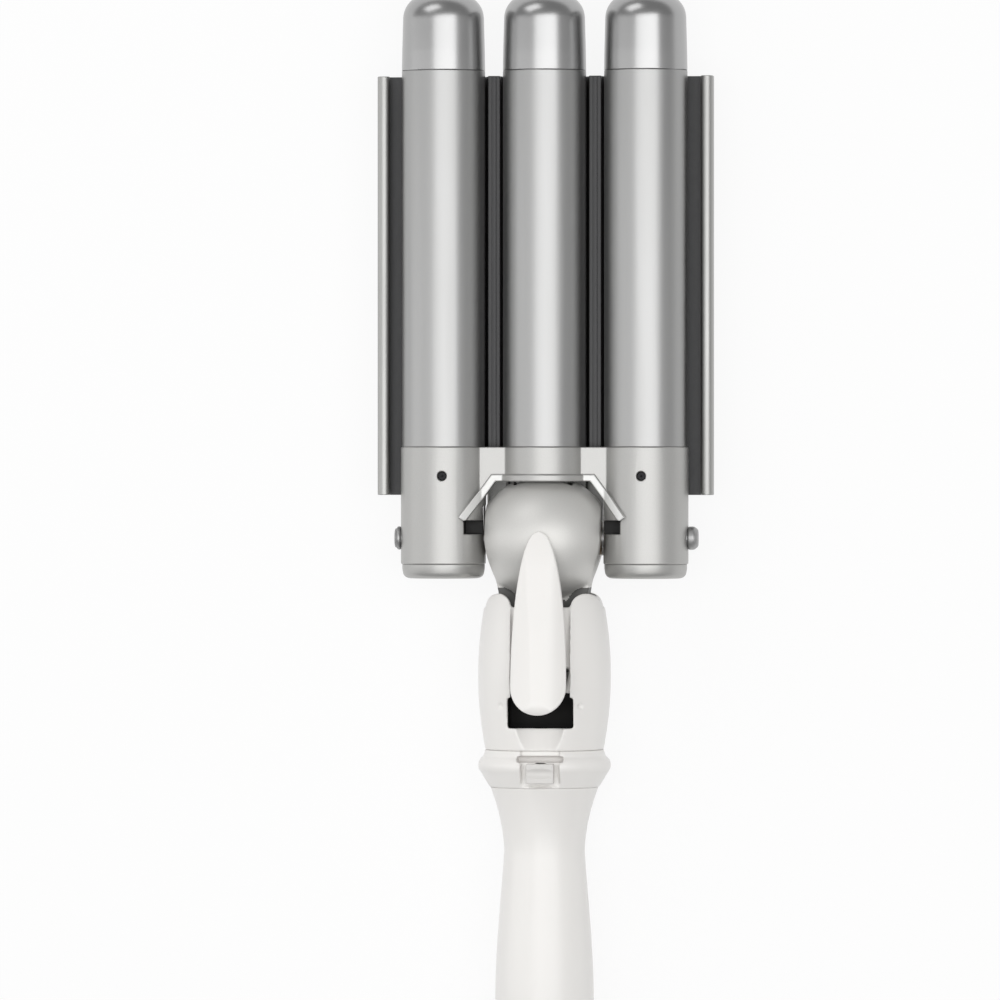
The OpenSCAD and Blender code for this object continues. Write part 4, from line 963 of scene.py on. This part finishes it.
def digitPaths(node, settings):
    low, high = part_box(node)
    x, y = (low[0] + high[0]) / 2, (low[1] + high[1]) / 2
    w, h = settings["Width"] / 2 * mm, settings["Height"] / 2 * mm
    gap = settings["Corner gap"] * mm
    segments = {
        "a": (-w + gap, h, w - gap, h), "b": (w, h - gap, w, gap), "c": (w, -gap, w, -h + gap),
        "d": (-w + gap, -h, w - gap, -h), "e": (-w, -gap, -w, -h + gap),
        "f": (-w, h - gap, -w, gap), "g": (-w + gap, 0, w - gap, 0)}
    paths = []
    for place, digit in enumerate(settings["Reading"]):
        shift = x + (place - (len(settings["Reading"]) - 1) / 2) * settings["Pitch"] * mm
        for key in litSegments[digit]:
            x0, y0, x1, y1 = segments[key]
            paths.append(straight(shift + x0, y + y0, shift + x1, y + y1, barSteps))
    return paths


for node in ("plus_button", "minus_button", "power_button"):
    printOn(node.replace("button", "symbol"), node, symbolPaths(node, symbolSettings),
            symbolSettings["Stroke"], symbolInk)
printOn("display_digits", "display_lens", digitPaths("display_lens", digitSettings),
        digitSettings["Stroke"], digitGlow)
print("symbols printed")


# Stage: pale floor, soft lamps and a plain world

stageSettings = {
    "floor": "F4F4F4", "floor lift": 0.88,
    "floor half side": 6,  # m
    "floor drop": 0.05,  # mm, just clear of the waver's underside
    "world": "E9E9E9", "world strength": 0.42, "backdrop": "FBFBFB",
}
lamps = {
    # name: (place, size, watts)
    "overhead": ((0.2, 0.05, 1.3), (0.9, 1.6), 10.3),
    "left side": ((-1.2, 0.05, 0.5), (0.5, 2.6), 5.2),
    "tips side": ((-0.6, 1.1, 0.8), (0.9, 0.6), 3.0),
    "right fill": ((1.2, 0.05, 0.55), (0.5, 1.8), 1.0),
}
lampAim = (0, 0.03, 0.02)  # a point in the waver


def makeFloor(settings):
    build = bmesh.new()
    bmesh.ops.create_grid(build, x_segments=1, y_segments=1, size=settings["floor half side"])
    bmesh.ops.translate(build, verts=build.verts[:], vec=(0, 0, -settings["floor drop"] * mm))
    floor = addObject("floor", meshFrom(build, "floor"))
    # painted board, matt
    material, tree, shader, place = newMaterial("pale_floor", {
        "Base Color": linearColour(settings["floor"]), "Roughness": 0.9})
    # seen directly or in a reflection the floor is nearly white; it still takes the shadow
    rays = addNode(tree, "ShaderNodeLightPath").outputs
    seen = rays["Is Camera Ray"]
    for ray in ("Is Glossy Ray", "Is Transmission Ray"):
        seen = addNode(tree, "ShaderNodeMath", {
            0: seen, 1: rays[ray]}, operation="MAXIMUM").outputs[0]
    share = addNode(tree, "ShaderNodeMath", {
        0: seen, 1: settings["floor lift"]}, operation="MULTIPLY")
    glow = addNode(tree, "ShaderNodeEmission", {"Strength": 1.0})
    both = addNode(tree, "ShaderNodeMixShader", {
        0: share.outputs[0], 1: shader.outputs["BSDF"], 2: glow.outputs["Emission"]})
    out = next(node for node in tree.nodes if node.bl_idname == "ShaderNodeOutputMaterial")
    tree.links.new(both.outputs["Shader"], out.inputs["Surface"])
    floor.data.materials.append(material)


def makeLamp(name, place, size, power):
    data = bpy.data.lights.new(name, "AREA")
    data.shape = "RECTANGLE"
    data.size, data.size_y = size
    data.energy = power
    lamp = addObject(name, data)
    lamp.location = place
    lamp.rotation_euler = (Vector(lampAim) - Vector(place)).to_track_quat("-Z", "Y").to_euler()


def makeWorld(settings):
    # an even soft light, seen directly as the same near white as the floor
    world = bpy.data.worlds.new("studio")
    bpy.context.scene.world = world
    world.use_nodes = True
    tree = world.node_tree
    tree.nodes.clear()
    rays = addNode(tree, "ShaderNodeLightPath").outputs
    light = addNode(tree, "ShaderNodeBackground", {
        "Color": linearColour(settings["world"]), "Strength": settings["world strength"]})
    seen = addNode(tree, "ShaderNodeBackground", {
        "Color": linearColour(settings["backdrop"]), "Strength": 1.0})
    both = addNode(tree, "ShaderNodeMixShader", {
        0: rays["Is Camera Ray"], 1: light.outputs["Background"], 2: seen.outputs["Background"]})
    addNode(tree, "ShaderNodeOutputWorld", {"Surface": both.outputs["Shader"]})


makeFloor(stageSettings)
for name, (place, size, power) in lamps.items():
    makeLamp(name, place, size, power)
makeWorld(stageSettings)
bpy.context.scene.view_settings.view_transform = "Standard"
print("stage set")
